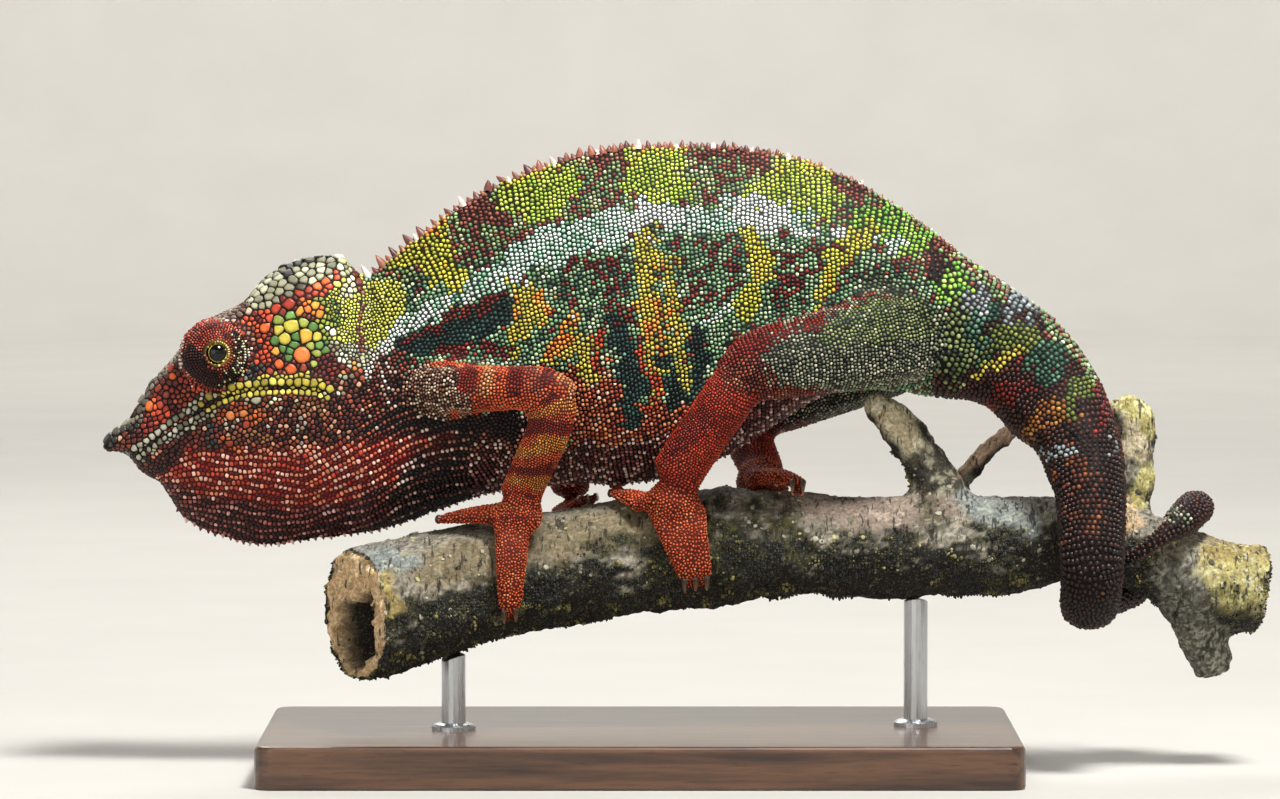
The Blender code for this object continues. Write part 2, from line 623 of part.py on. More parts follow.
def make_legs(branch, neck, trunk, parts, cutters):
    """All four legs, each trimmed by what it grows from or holds."""
    limbs = {name: make_limb(name, parts) for name in LIMBS}
    feet = {name: make_foot(name, parts) for name in FEET}
    for side in ("left", "right"):
        for upper, lower, foot in (("upper_arm", "forearm", "forefoot"), ("thigh", "shin", "hindfoot")):
            upper, lower, foot = limbs[f"{upper}_{side}"], limbs[f"{lower}_{side}"], feet[f"{foot}_{side}"]
            for body in (trunk, neck):
                trim(upper, body, cutters)
            for holder in (branch, trunk):
                trim(foot, holder, cutters)
            for neighbour in (upper, trunk, branch, foot):
                trim(lower, neighbour, cutters)
    return [largest_body(obj) for obj in (*limbs.values(), *feet.values())]


# Perch and stand --------------------------------------------------------------------------------------


def make_branch(parts, cutters):
    """The cut length of branch, a little knotty, with a slanting break at its left end."""
    rows = evenly(rounded(BRANCH, 8), BRANCH_RING_STEP)
    rings = []
    for i, ring in enumerate(tube_rings(np.column_stack([rows, rows[:, 3]]), 12)):
        middle = rows[i, :3]
        knots = [0.035 * math.sin(1.7 * i + 2.1 * k) * math.cos(0.9 * k + i) for k in range(len(ring))]
        rings.append([middle + (point - middle) * (1 + knot) for point, knot in zip(ring, knots)])
    branch = loft("perch_branch", rings, parts)
    bpy.ops.mesh.primitive_cube_add(size=BREAK_CUTTER_SIZE * MM, location=Vector(BREAK_CUTTER_PLACE) * MM,
                                    rotation=Vector(BREAK_FACING).to_track_quat("X", "Z").to_euler())
    return combine(branch, hide(take_primitive("slanting_break", cutters)), "DIFFERENCE")


def make_stub(name, branch, parts, cutters):
    rows = rounded([[*point, point[3]] for point in STUBS[name]], 6)
    rows = evenly(rows, 5.0)
    end = rows[-1].copy()
    end[:3] += (rows[-1, :3] - rows[-2, :3]) / 4
    end[3:5] *= 0.6
    rows = np.vstack([rows, end])
    stub = loft(name, tube_rings(rows, 8, [(0.0, 1.0, 0.0)] * len(rows)), parts)
    trim(stub, branch, cutters)
    return largest_body(stub)


def make_stand(branch, parts, cutters):
    """A flat wooden base with rounded edges, and two steel rods up to the branch."""
    bpy.ops.mesh.primitive_cube_add(size=1, location=(0, 0, BASE_SIZE[2] / 2 * MM))
    base = take_primitive("stand_base", parts)
    base.scale = [side * MM for side in BASE_SIZE]
    bpy.ops.object.transform_apply(location=False, rotation=False, scale=True)
    corners = base.modifiers.new("corners", "BEVEL")
    corners.width = 1.6 * MM
    corners.segments = 2
    made = [base]
    for name, x in zip(("stand_rod_left", "stand_rod_right"), ROD_X):
        y, z, radius = branch_at(x)
        low, high = BASE_SIZE[2] + CUT, z - radius + ROD_INTO_BARK
        bpy.ops.mesh.primitive_cylinder_add(vertices=16, radius=ROD_RADIUS * MM, depth=(high - low) * MM,
                                            location=Vector((x, y, (high + low) / 2)) * MM)
        rod = take_primitive(name, parts)
        trim(rod, branch, cutters)
        made.append(largest_body(rod))
    return made


# Assembly ---------------------------------------------------------------------------------------------


def linear(hex_code):
    """sRGB hex to the linear values that a shader takes."""
    values = [int(hex_code[i:i + 2], 16) / 255 for i in (0, 2, 4)]
    return [v / 12.92 if v <= 0.04045 else ((v + 0.055) / 1.055) ** 2.4 for v in values]


def paint(objects, name):
    colour, roughness, metallic = MATERIALS[name]
    material = bpy.data.materials.new(name)
    material.use_nodes = True
    shader = material.node_tree.nodes["Principled BSDF"]
    shader.inputs["Base Color"].default_value = (*linear(colour), 1.0)
    shader.inputs["Roughness"].default_value = roughness
    shader.inputs["Metallic"].default_value = metallic
    for obj in objects:
        obj.data.materials.clear()
        obj.data.materials.append(material)
        obj.data.shade_smooth()
        obj.data.set_sharp_from_angle(angle=math.radians(50))


def build():
    for obj in list(bpy.data.objects):
        bpy.data.objects.remove(obj, do_unlink=True)
    parts = bpy.data.collections.new("panther_chameleon")
    cutters = bpy.data.collections.new("cutters")
    for collection in (parts, cutters):
        bpy.context.scene.collection.children.link(collection)

    branch = make_branch(parts, cutters)
    stubs = {name: make_stub(name, branch, parts, cutters) for name in STUBS}
    trim(stubs["perch_twig"], stubs["perch_stub_left"], cutters)
    base, *rods = make_stand(branch, parts, cutters)

    head, jaw, casque = make_head(parts, cutters)
    around_eye = (head, casque, jaw)
    eyes = [make_eye(side, sign, around_eye, parts, cutters) for side, sign in (("left", -1), ("right", 1))]
    neck, trunk = make_body(parts, cutters)
    tail = make_tail(parts)
    trim(tail[0], trunk, cutters)
    for length in tail[1:]:
        for support in (branch, stubs["perch_stub_right"], stubs["perch_fork"]):
            trim(length, support, cutters)
    for length in tail:
        largest_body(length)
    legs = make_legs(branch, neck, trunk, parts, cutters)

    paint((neck, trunk, *tail), "hide_green")
    paint((head, jaw, *legs), "hide_red")
    paint((casque,), "hide_casque")
    paint([turret for turret, _ in eyes], "hide_turret")
    paint([ball for _, ball in eyes], "eye")
    paint((branch, *stubs.values()), "bark")
    paint((base,), "stand_wood")
    paint(rods, "stand_steel")

    holder = bpy.data.objects.new("panther_chameleon", None)
    bpy.context.scene.collection.objects.link(holder)
    for obj in parts.objects:
        obj.parent = holder


build()
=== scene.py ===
import math
import bpy
import bmesh
import numpy as np
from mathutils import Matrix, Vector
from mathutils.bvhtree import BVHTree
from mathutils.kdtree import KDTree


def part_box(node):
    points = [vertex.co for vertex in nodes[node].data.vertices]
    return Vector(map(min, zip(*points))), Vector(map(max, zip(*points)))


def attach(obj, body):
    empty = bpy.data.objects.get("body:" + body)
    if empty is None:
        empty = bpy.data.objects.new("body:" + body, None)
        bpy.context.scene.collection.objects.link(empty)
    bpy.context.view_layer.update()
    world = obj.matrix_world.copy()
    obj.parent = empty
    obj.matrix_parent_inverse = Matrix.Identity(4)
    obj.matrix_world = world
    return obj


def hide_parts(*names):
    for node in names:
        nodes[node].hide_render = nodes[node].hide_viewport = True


# Dressing of a life-size panther chameleon on its perch and stand.
# Lists of places and sizes are in millimetres; x runs from snout to tail, z is up, the left flank faces -y.

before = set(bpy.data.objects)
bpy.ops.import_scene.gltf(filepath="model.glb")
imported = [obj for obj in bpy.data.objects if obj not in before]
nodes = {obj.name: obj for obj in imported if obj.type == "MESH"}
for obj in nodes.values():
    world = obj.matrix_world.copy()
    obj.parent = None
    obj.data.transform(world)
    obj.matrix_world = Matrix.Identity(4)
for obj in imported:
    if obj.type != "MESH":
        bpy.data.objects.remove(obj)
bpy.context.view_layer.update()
mm = 0.001
dice = np.random.default_rng(11)


# small tools

def linearColour(code):
    rgb = np.array([int(code[i:i + 2], 16) / 255 for i in (0, 2, 4)])
    return np.where(rgb <= 0.04045, rgb / 12.92, ((rgb + 0.055) / 1.055) ** 2.4)


def colourOf(code):
    return (*linearColour(code), 1.0)


def unit(vectors):
    return vectors / np.maximum(np.linalg.norm(vectors, axis=-1, keepdims=True), 1e-9)


def smoothCurve(rows, perStep=8):
    # a curve through every row, with the same number of points between each two
    rows = np.array(rows, float)
    ends = np.vstack([2 * rows[0] - rows[1], rows, 2 * rows[-1] - rows[-2]])
    out = []
    for i in range(1, len(ends) - 2):
        a, b, c, d = ends[i - 1:i + 3]
        for t in np.arange(perStep) / perStep:
            out.append(0.5 * (2 * b + (c - a) * t + (2 * a - 5 * b + 4 * c - d) * t ** 2
                              + (3 * b - a - 3 * c + d) * t ** 3))
    return np.array(out + [rows[-1]])


def evenly(rows, step):
    # the same curve with its points a step apart
    gaps = np.linalg.norm(np.diff(rows[:, :3], axis=0), axis=1)
    run = np.concatenate([[0], np.cumsum(gaps)])
    count = max(2, int(round(run[-1] / step)) + 1)
    return np.column_stack([np.interp(np.linspace(0, run[-1], count), run, column) for column in rows.T])


def softNoise(points, size, seed=0.0):
    # smooth random values between -1 and 1, as big as size
    place = points / size + seed * 13.7
    cell = np.floor(place).astype(np.int64)
    part = place - cell
    part = part * part * (3 - 2 * part)
    total = np.zeros(len(points))
    for corner in range(8):
        shift = np.array([corner & 1, corner >> 1 & 1, corner >> 2 & 1])
        mark = (cell + shift) @ np.array([374761393, 668265263, 1103515245])
        mark = (mark ^ (mark >> 13)) * 1274126177 & 0x7fffffff
        mark = mark ^ (mark >> 16)
        share = np.prod(np.where(shift, part, 1 - part), axis=1)
        total += share * ((mark & 0xffff) / 32767.5 - 1)
    return total


def noiseStack(points, size, layers=3, seed=0.0):
    return sum(softNoise(points, size / 2 ** i, seed + i * 3.1) / 2 ** i for i in range(layers))


def newObject(name, data):
    made = bpy.data.objects.new(name, data)
    bpy.context.scene.collection.objects.link(made)
    return made


def newMesh(name, points, faces):
    # points in millimetres
    mesh = bpy.data.meshes.new(name)
    mesh.from_pydata(np.asarray(points) * mm, [], faces)
    mesh.update()
    return mesh


def giveTints(mesh, tints):
    layer = mesh.attributes.new("tint", "FLOAT_COLOR", "POINT")
    layer.data.foreach_set("color", np.column_stack([tints, np.ones(len(tints))]).astype(np.float32).ravel())


def makePiece(name, points, faces, material, tints=None, smooth=True, turnOut=False):
    # a finished mesh, with its own colours where it has them
    mesh = newMesh(name, points, faces)
    if smooth:
        mesh.shade_smooth()
    if tints is not None:
        giveTints(mesh, tints)
    mesh.materials.append(material)
    if turnOut:
        bm = bmesh.new()
        bm.from_mesh(mesh)
        bmesh.ops.recalc_face_normals(bm, faces=bm.faces)
        bm.to_mesh(mesh)
        bm.free()
    return newObject(name, mesh)


def bothSides(*parts):
    return [f"{part}_{side}" for part in parts for side in ("left", "right")]


def keepWith(piece, slot, *replaced):
    if replaced:
        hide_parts(*replaced)
    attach(piece, "root")


def ringFaces(rings, sides, start=0, closed=False):
    # squares between rings of points that follow one another
    return [(start + i * sides + k, start + i * sides + (k + 1) % sides,
             start + (i + 1) % rings * sides + (k + 1) % sides, start + (i + 1) % rings * sides + k)
            for i in range(rings if closed else rings - 1) for k in range(sides)]


def turnsOf(sides):
    return np.arange(sides) * 2 * math.pi / sides


def joinSolids(names, swell):
    # one mesh of several CAD solids, each swollen so that neighbours touch
    points, faces, owners, start = [], [], [], 0
    for index, name in enumerate(names):
        bm = bmesh.new()
        bm.from_mesh(nodes[name].data)
        bmesh.ops.remove_doubles(bm, verts=bm.verts, dist=1e-6)
        bm.normal_update()
        points += [tuple((v.co + v.normal * swell * mm) / mm) for v in bm.verts]
        faces += [[v.index + start for v in f.verts] for f in bm.faces]
        owners += [index] * len(bm.faces)
        start += len(bm.verts)
        bm.free()
    return np.array(points), faces, np.array(owners)


def fuse(name, points, faces, voxel):
    # the outside of a joined mesh, as one closed surface of small squares
    rough = newObject(name, newMesh(name, points, faces))
    remesh = rough.modifiers.new("fuse", "REMESH")
    remesh.mode, remesh.voxel_size = "VOXEL", voxel * mm
    graph = bpy.context.evaluated_depsgraph_get()
    bm = bmesh.new()
    bm.from_mesh(rough.evaluated_get(graph).to_mesh())
    bpy.data.objects.remove(rough)
    left, groups = set(bm.verts), []
    while left:
        front = [left.pop()]
        group = set(front)
        while front:
            for edge in front.pop().link_edges:
                for vertex in edge.verts:
                    if vertex in left:
                        left.discard(vertex)
                        group.add(vertex)
                        front.append(vertex)
        groups.append(group)
    keep = max(groups, key=len)
    bmesh.ops.delete(bm, geom=[v for v in bm.verts if v not in keep], context="VERTS")
    bm.verts.index_update()
    outPoints = np.array([v.co for v in bm.verts]) / mm
    outFaces = [[v.index for v in f.verts] for f in bm.faces]
    edges = np.array([[v.index for v in e.verts] for e in bm.edges])
    bm.free()
    return outPoints, outFaces, edges


def relax(points, edges, strength, times):
    # evens a surface out; strength is one number for each point
    points = points.copy()
    count = len(points)
    degree = np.bincount(edges.ravel(), minlength=count)
    for _ in range(times):
        for axis in range(3):
            column = points[:, axis]
            mean = (np.bincount(edges[:, 0], column[edges[:, 1]], count)
                    + np.bincount(edges[:, 1], column[edges[:, 0]], count)) / degree
            points[:, axis] = column + strength * (mean - column)
    return points


def normalsOf(points, faces):
    mesh = bpy.data.meshes.new("probe")
    mesh.from_pydata(points, [], faces)
    out = np.zeros(len(points) * 3)
    mesh.vertices.foreach_get("normal", out)
    bpy.data.meshes.remove(mesh)
    return out.reshape(-1, 3)


def nearestIn(points, tree):
    return np.array([tree.find(p)[1] for p in points])


def treeOf(points):
    tree = KDTree(len(points))
    for index, point in enumerate(points):
        tree.insert(point, index)
    tree.balance()
    return tree


def setInputs(tree, node, inputs):
    # numbers and colours are set, sockets of other nodes are linked
    for key, value in inputs.items():
        if isinstance(value, bpy.types.NodeSocket):
            tree.links.new(value, node.inputs[key])
        else:
            node.inputs[key].default_value = value


def addNode(tree, kind, inputs=(), output=0, **settings):
    # one node with its settings and links; gives the output that is used. Inputs that share a name go by
    # number: 1-2 and 3-4 are the two spans of Map Range; 0, 6 and 7 the share and the two colours of Mix
    node = tree.nodes.new(kind)
    for key, value in settings.items():
        setattr(node, key, value)
    setInputs(tree, node, dict(inputs))
    return node.outputs[output] if len(node.outputs) else node


def newMaterial(name, **fixed):
    # fixed numbers of the shader, with an underscore for each space in their names
    material = bpy.data.materials.new(name)
    material.use_nodes = True
    tree = material.node_tree
    shader = tree.nodes["Principled BSDF"]
    setInputs(tree, shader, {key.replace("_", " "): value for key, value in fixed.items()})
    return material, tree, shader, addNode(tree, "ShaderNodeTexCoord", output="Object")


def tintedMaterial(name, size, low, high, dark, pale, detail=3.0, grain=0.55, **fixed):
    # the piece's own tints, lighter and darker in spots of some millimetres
    material, tree, shader, place = newMaterial(name, **fixed)
    tint = addNode(tree, "ShaderNodeAttribute", attribute_name="tint")
    spots = addNode(tree, "ShaderNodeTexNoise", {"Vector": place, "Scale": 1 / (size * mm), "Detail": detail,
                                                 "Roughness": grain})
    shade = addNode(tree, "ShaderNodeMapRange", {"Value": spots, 1: low, 2: high, 3: dark, 4: pale})
    colour = addNode(tree, "ShaderNodeMix", {0: 1.0, 6: tint, 7: shade}, 2, data_type="RGBA",
                     blend_type="MULTIPLY")
    setInputs(tree, shader, {"Base Color": colour})
    return material, tree, shader, place, tint, spots, colour


# camera, light and floor

studio = {
    "cameraDistance": 1.40, "cameraDegrees": 3.0, "aimHeight": 0.0778, "sensor": 36.0, "lens": 187.5,
    "floorRadius": 2.1, "coveRadius": 0.5, "coveTop": 1.7, "floorColour": "B9B6AF",
    "lamps": {"key": ((0.26, -0.42, 1.0), 0.24, 20.0), "fill": ((-0.8, -1.2, 0.5), 0.9, 4.0),
              "rim": ((-0.15, 0.7, 0.75), 0.5, 5.0)},  # place, size and watts
    "skyStrength": 0.18, "backdropWatts": 30.0, "backdropSize": 1.0, "backdropHeight": 1.5,
}


def addLamp(name, place, aim, size, watts):
    lamp = bpy.data.lights.new(name, "AREA")
    lamp.energy, lamp.size = watts, size
    holder = newObject(name, lamp)
    holder.location = place
    holder.rotation_euler = Vector(aim).to_track_quat("-Z", "Y").to_euler()


def makeStudio():
    scene, middle = bpy.context.scene, Vector((0, 0, studio["aimHeight"]))
    lean, distance = math.radians(studio["cameraDegrees"]), studio["cameraDistance"]
    camera = newObject("camera", bpy.data.cameras.new("camera"))
    camera.data.sensor_width, camera.data.lens = studio["sensor"], studio["lens"]
    camera.location = middle + Vector((0, -distance * math.cos(lean), distance * math.sin(lean)))
    camera.rotation_euler = (math.pi / 2 - lean, 0, 0)
    scene.camera = camera
    for name, (place, size, watts) in studio["lamps"].items():
        addLamp(name + "Light", place, middle - Vector(place), size, watts)
    for number in range(4):
        # four soft lamps that light the backdrop only
        turn = number * math.pi / 2
        out, high = Vector((math.sin(turn), math.cos(turn), 0)), studio["backdropHeight"]
        addLamp(f"backdropLight{number}", out * 1.5 + Vector((0, 0, high)), out - Vector((0, 0, 0.9)),
                studio["backdropSize"], studio["backdropWatts"])
    world = bpy.data.worlds.new("studio")
    world.use_nodes = True
    setInputs(world.node_tree, world.node_tree.nodes["Background"],
              {"Color": (1, 1, 1, 1), "Strength": studio["skyStrength"]})
    scene.world = world
    scene.view_settings.view_transform = "Standard"  # keeps the painted colours full
    # painted studio floor: pale, matt, with a faint unevenness from the roller
    material, tree, shader, place = newMaterial("paintedFloor", Roughness=0.85)
    patch = addNode(tree, "ShaderNodeTexNoise", {"Vector": place, "Scale": 1 / (60.0 * mm), "Detail": 3.0,
                                                 "Roughness": 0.55})
    tone = addNode(tree, "ShaderNodeMapRange", {"Value": patch, 1: 0.3, 2: 0.7, 3: 0.95, 4: 1.0})
    setInputs(tree, shader, {"Base Color": addNode(
        tree, "ShaderNodeMix", {0: 1.0, 6: colourOf(studio["floorColour"]), 7: tone}, 2,
        data_type="RGBA", blend_type="MULTIPLY")})
    flat, bend = studio["floorRadius"], studio["coveRadius"]
    line = [(0.001, 0.0), (flat / 2, 0.0)]
    line += [(flat + bend * math.sin(turn), bend - bend * math.cos(turn))
             for turn in np.linspace(0, math.pi / 2, 25)]
    line.append((flat + bend, studio["coveTop"]))
    corners = [(r * math.cos(turn), r * math.sin(turn), z) for r, z in line for turn in turnsOf(96)]
    makePiece("studio_floor", np.array(corners) / mm, ringFaces(len(line), 96), material)


makeStudio()
print("studio ready")


# middle lines of the parts, from the body outwards

limbAxes = {
    "upper_arm_left": [(-50, -5, 79.6), (-44.5, -10.5, 80.4), (-37, -16, 80.8), (-28, -20.6, 81.2),
                       (-19.5, -23.6, 81.6), (-14.6, -24.4, 80.6)],
    "upper_arm_right": [(-50, 5, 79.6), (-44.5, 10.5, 80.2), (-37, 16, 80), (-28, 20.6, 79.6),
                        (-19.5, 23.6, 79), (-13.6, 24.6, 77.8)],
    "forearm_left": [(-18, -24.2, 82), (-17.4, -23.6, 77.4), (-19.6, -21.6, 70.6), (-22.6, -18.9, 64),
                     (-25, -16.4, 58.2)],
    "forearm_right": [(-15.6, 24.4, 80), (-14.6, 23.8, 75.6), (-14.2, 21.6, 69.6), (-14.6, 18.8, 63),
                      (-15, 16.4, 57.4)],
    "thigh_left": [(58.6, -4, 91.6), (55.4, -9, 91.4), (48.6, -13.6, 90.4), (39.5, -17.6, 88.8),
                   (30, -20, 87.2), (22.6, -20.6, 85.4), (17.6, -20.4, 83.6)],
    "thigh_right": [(56.2, 4, 88.8), (52.6, 9.6, 87.2), (46, 14.6, 84), (36, 19.4, 79.6),
                    (27, 23, 75.6), (20.6, 24.6, 72.8)],
    "shin_left": [(23, -21, 88), (19.6, -20.8, 81.4), (15.6, -19, 75), (11.4, -17, 69),
                  (7.4, -14.9, 62.6)],
    "shin_right": [(20.4, 26.4, 76.6), (21.6, 24.4, 71.6), (23.4, 20, 67.4), (25, 15.2, 64),
                   (26.2, 11.2, 61.4)],
}
trunkAxis = [(-64, 0, 76), (-50, 0, 80.5), (-30, 0, 90), (-5, 0, 95), (22, 0, 98.5),
             (45, 0, 99), (62, 0, 94.5), (70, 0, 90.8)]
tailAxis = [(67.3, 0, 92.1), (75.2, -0.2, 88.6), (82, -1.7, 83.5), (87.2, -4.5, 77.1),
            (91.2, -8.7, 70.7), (93.1, -13, 63.5), (93.7, -17.3, 55.9), (93.6, -21.1, 48.1),
            (93.6, -22.1, 43.9), (93.6, -20.4, 40), (93.5, -17.1, 37.3), (93.6, -13.3, 35.1),
            (93.9, -9.1, 34.4), (94.6, -4.8, 34.5), (96.2, -0.9, 35.3), (98.5, 2.7, 35.8),
            (101.1, 6.2, 35.9), (103.8, 9.5, 36.7), (106.4, 12.3, 38.8), (108.9, 14.3, 41.7),
            (111.5, 14.9, 45.1), (113.6, 13.8, 48.7), (115.3, 11.4, 51.8), (116.4, 7.6, 53.7),
            (116.9, 3.5, 54.7), (116.8, -0.8, 55), (115.5, -4.9, 54.1), (113.4, -8.2, 52.5),
            (110.5, -10.7, 50.4), (106.9, -11.8, 48.2), (103.2, -11.8, 46), (99.7, -10.4, 43.8),
            (96.6, -7.8, 42.3)]


# paints: the bare skin's colour, then the scales' colours, each with its share

# the bare colours are dark: the skin's own colour between the scales, deepened as painted shade in the gaps
paints = {
    "flank": "0C100C E8F0D0*1.8 B8CCA4*3 84A87C*3 5C8460*2.2 34503E*1.4 7E2E24*3 9A5040*1.4 B0A45C*0.8",
    "backBrown": "1A120C E6E6C4*1.8 B0B884*2.6 84A068*2.4 62845C*1.6 8A4A3C*2.8 6A3228*2 BC9C7C*1.4",
    "backDark": "1A0C0A C0907A*1.6 8E5040*3 6C342A*2.6 A0A468*1.6",
    "lime": "1A200A E6EC8C*1.7 C8D656*3.4 AAC446*3.2 86A040*1.7",
    "limeYellow": "221F08 EADC5C*2 D2C842*3 B0B43C*3 E0A638*1.2",
    "grass": "101C0A C0E074*2 94C248*4 6CA43C*3 D0DC78*1",
    "napeLime": "1E1E0C F0EC90*2.4 D8D65C*4 B6BC48*2 8A8440*1",
    "mint": "0E1E18 EEF8EC*2.6 CCE8D4*4 9ECAAC*2.8 6AA07E*1",
    "white": "2A332E FFFFFF*4 EDF5EE*3 CFE4D6*1.2",
    "tealDark": "060C0B 2C584E*2 1C3A36*3 122422*3 5E8A7C*0.7",
    "redEdge": "180605 8A241A*2 661A14*3 44120F*2",
    "yellow": "1E1A08 E6CC58*2.2 CCB844*3 A6A03C*2.8 E0A236*1.2",
    "orange": "2A1206 F4B858*1.4 EE9634*3 DC742A*2",
    "orangeRed": "300E08 E46A34*2 CA4A26*3 A4341C*2.4",
    "bellyRed": "180806 D89060*1.2 B85A34*3 8E3420*3 E0B8A0*0.6",
    "bellyDark": "0A0504 D8B8B0*1.3 A06A60*1.7 5E2A24*3 34130F*3",
    "neckDark": "0C0504 D4B4A4*1.4 9A6450*2.2 662E24*3.2 34140F*2",
    "rumpDark": "0A0C08 B8B894*1 7A8464*2.2 4A5A40*3 2A3428*2.6",
    "jawDark": "0E0605 D09A78*1 984A30*2 68241A*3.4 3A140F*2.6 A8A090*0.4",
    "throatRed": "4E0C08 E8B8A4*2.2 D6805F*3 B23A26*2.4 8A1C14*1.2",
    "throatDark": "200605 CC9C94*1.6 98544C*3.4 6E2A22*3 3A0F0C*0.8",
    "chin": "160706 7A3426*2 4E1E18*3 30120F*3 A07C6A*0.5",
    "brownLine": "1C0C08 94543A*2 6E3224*3",
    "napeGrey": "1C1C14 DCDCC0*2.6 AEB090*3 7E6A54*2.4 984E3A*1",
    "plateGrey": "0A0C08 F0EED4*1.7 BCBC9C*2.6 8C8A70*3 5E5646*2.6",
    "cream": "26261A F0ECC8*3 D4D4A6*3 B8BA86*1.4",
    "browGrey": "0E0A08 A89680*2 765A48*2.4 562A20*2.4",
    "templeGreen": "0A1409 8C9C44*1.6 668C40*3 4A7436*3 A09C3C*1",
    "templeLime": "101808 A0A83A*3 88983A*2",
    "greyDark": "0A0807 6C6A62*2 403E3A*3 242020*2",
    "snoutRed": "180705 A84A28*2 84281A*3 561A12*3.4 8E7460*0.7",
    "snoutGrey": "100C0A ACA490*3 827868*3 5A5046*2",
    "rostral": "0C0A08 5E5848*2 403A32*3 26221E*2",
    "lipGrey": "161410 CCC8B4*3 A4A28C*3 7A7864*1",
    "lipOlive": "1C1A08 DCCC5C*2 C4B242*4 A09434*2",
    "jawOrange": "200C06 D07A40*1.8 B4521E*3 8A3218*2.4",
    "jawTan": "140806 C49A6E*2 92603A*3 6A3420*2.6",
    "turretRed": "1A0705 E8A890*1.2 C85C40*2.8 9C3322*3.2 581510*2.2",
    "turretSpeck": "060303 F6F0BC*2.0 C8BC84*1.2 160C08*4.4 5A1C12*1.6",
    "turretDark": "120504 5A1E14*2 36100B*4 1C0806*3 C08070*0.4",
    "turretPale": "2C1814 F6EEE0*3 D8C4B0*2 7A3024*1",
    "head": "180907 B08C72*0.8 843A24*3 5E2016*3.4 38120E*2.4",
    "arm": "4A160C E8A070*1 D0582C*4 AE4220*3.2",
    "shoulderPale": "0C0705 D8C0A4*1.8 A8846A*2.6 7A4A3A*2.6 3A1C16*1",
    "armDark": "2E0A05 A02814*2 7E1A0C*4 5C1008*2",
    "armPink": "401610 D49480*1.6 B05C44*3 8A3828*3",
    "armPale": "4A2412 E6AE7C*1.6 CC8450*3 AC643A*2.4",
    "armTan": "4A2410 E8A440*1.8 CC802C*3 AC601E*2.2",
    "foot": "541C0E DC8A50*1.6 C8562A*4 A63A18*3",
    "footDark": "3C120A AC3218*3 822412*3",
    "thigh": "140706 C89C80*1 9A4830*3 6C2418*3.4 421610*2",
    "thighDark": "0C0D0A B0AE94*2 868870*3 5C6450*3 343A30*1.2",
    "thighGreen": "0B0E08 B4B884*1.6 848E58*2.6 5E6E3E*3 34402A*1.6",
    "paleFold": "2E261C D8CCA8*3 AC9C7C*3",
    "shin": "46120A D25430*2 B23418*4 862012*3",
    "shinPale": "1E0A07 C8A284*1.4 9A5A3C*2 6C3020*3.4",
    "tail": "0C0604 75593C*0.6 4C261C*3 371A15*3.4 200E0B*2.4",
    "tailLime": "10140A 8C9040*1.6 69742E*4 4C5A28*3",
    "tailTeal": "060E0B 5E8A70*1.6 3C664E*3 264838*3 7CA48A*0.6",
    "tailOrange": "1A0D08 A87A34*1.6 8E5822*3 703818*2.4",
    "tailDark": "070302 44200F*2 28100A*4 140804*3 5E381C*0.5",
    "tailRows": "070302 7A4422*1.4 582A18*2.2 30140E*3.4",
    "tailSmooth": "120604 26100A*3 1A0A06*3",
    "underArm": "050303 4A322C*2 281613*4 160D0B*3 B09C90*1.0",
    "neckLine": "2A1A16 F4F2EA*3 D2CFC4*2",
    "mouthBlack": "060404 1A1412*2 0C0808*3",
    "plateOrange": "2A0F06 E87636*2 D8622C*2",
    "plateRed": "220906 BC482E*2 A43822*2",
    "plateAmber": "221606 E2A23C*2 D88E34*2",
    "plateYellow": "1C1A06 CCBC4A*2 B8AC42*2",
    "plateOlive": "121606 9CA648*2 84903C*2",
    "plateGreen": "081408 6E9448*2 567C3A*2",
    "plateWhite": "2E2820 F8F2E2*2 EFE0CC*2",
    "plateBrown": "120806 8A3A26*2 6E2A1C*2",
    "shed": "24282A A8B0B2*2 8A9294*3 6A7476*2",
}


def readPaint(text):
    # bare colour, scale colours, and their shares added up to 1
    colours = np.array([linearColour(word[:6]) for word in text.split()])
    shares = np.cumsum([float(word[7:]) for word in text.split()[1:]])
    return colours[0], colours[1:], shares / shares[-1]


def readPath(text):
    # x, z and half-width, or radius, of each point
    return [[float(value) for value in point.split()] for point in text.split(", ")]


def readStroke(text):
    head, path = text.split(": ")
    paint, strength, soft = head.split()
    return paint, float(strength), float(soft), readPath(path)


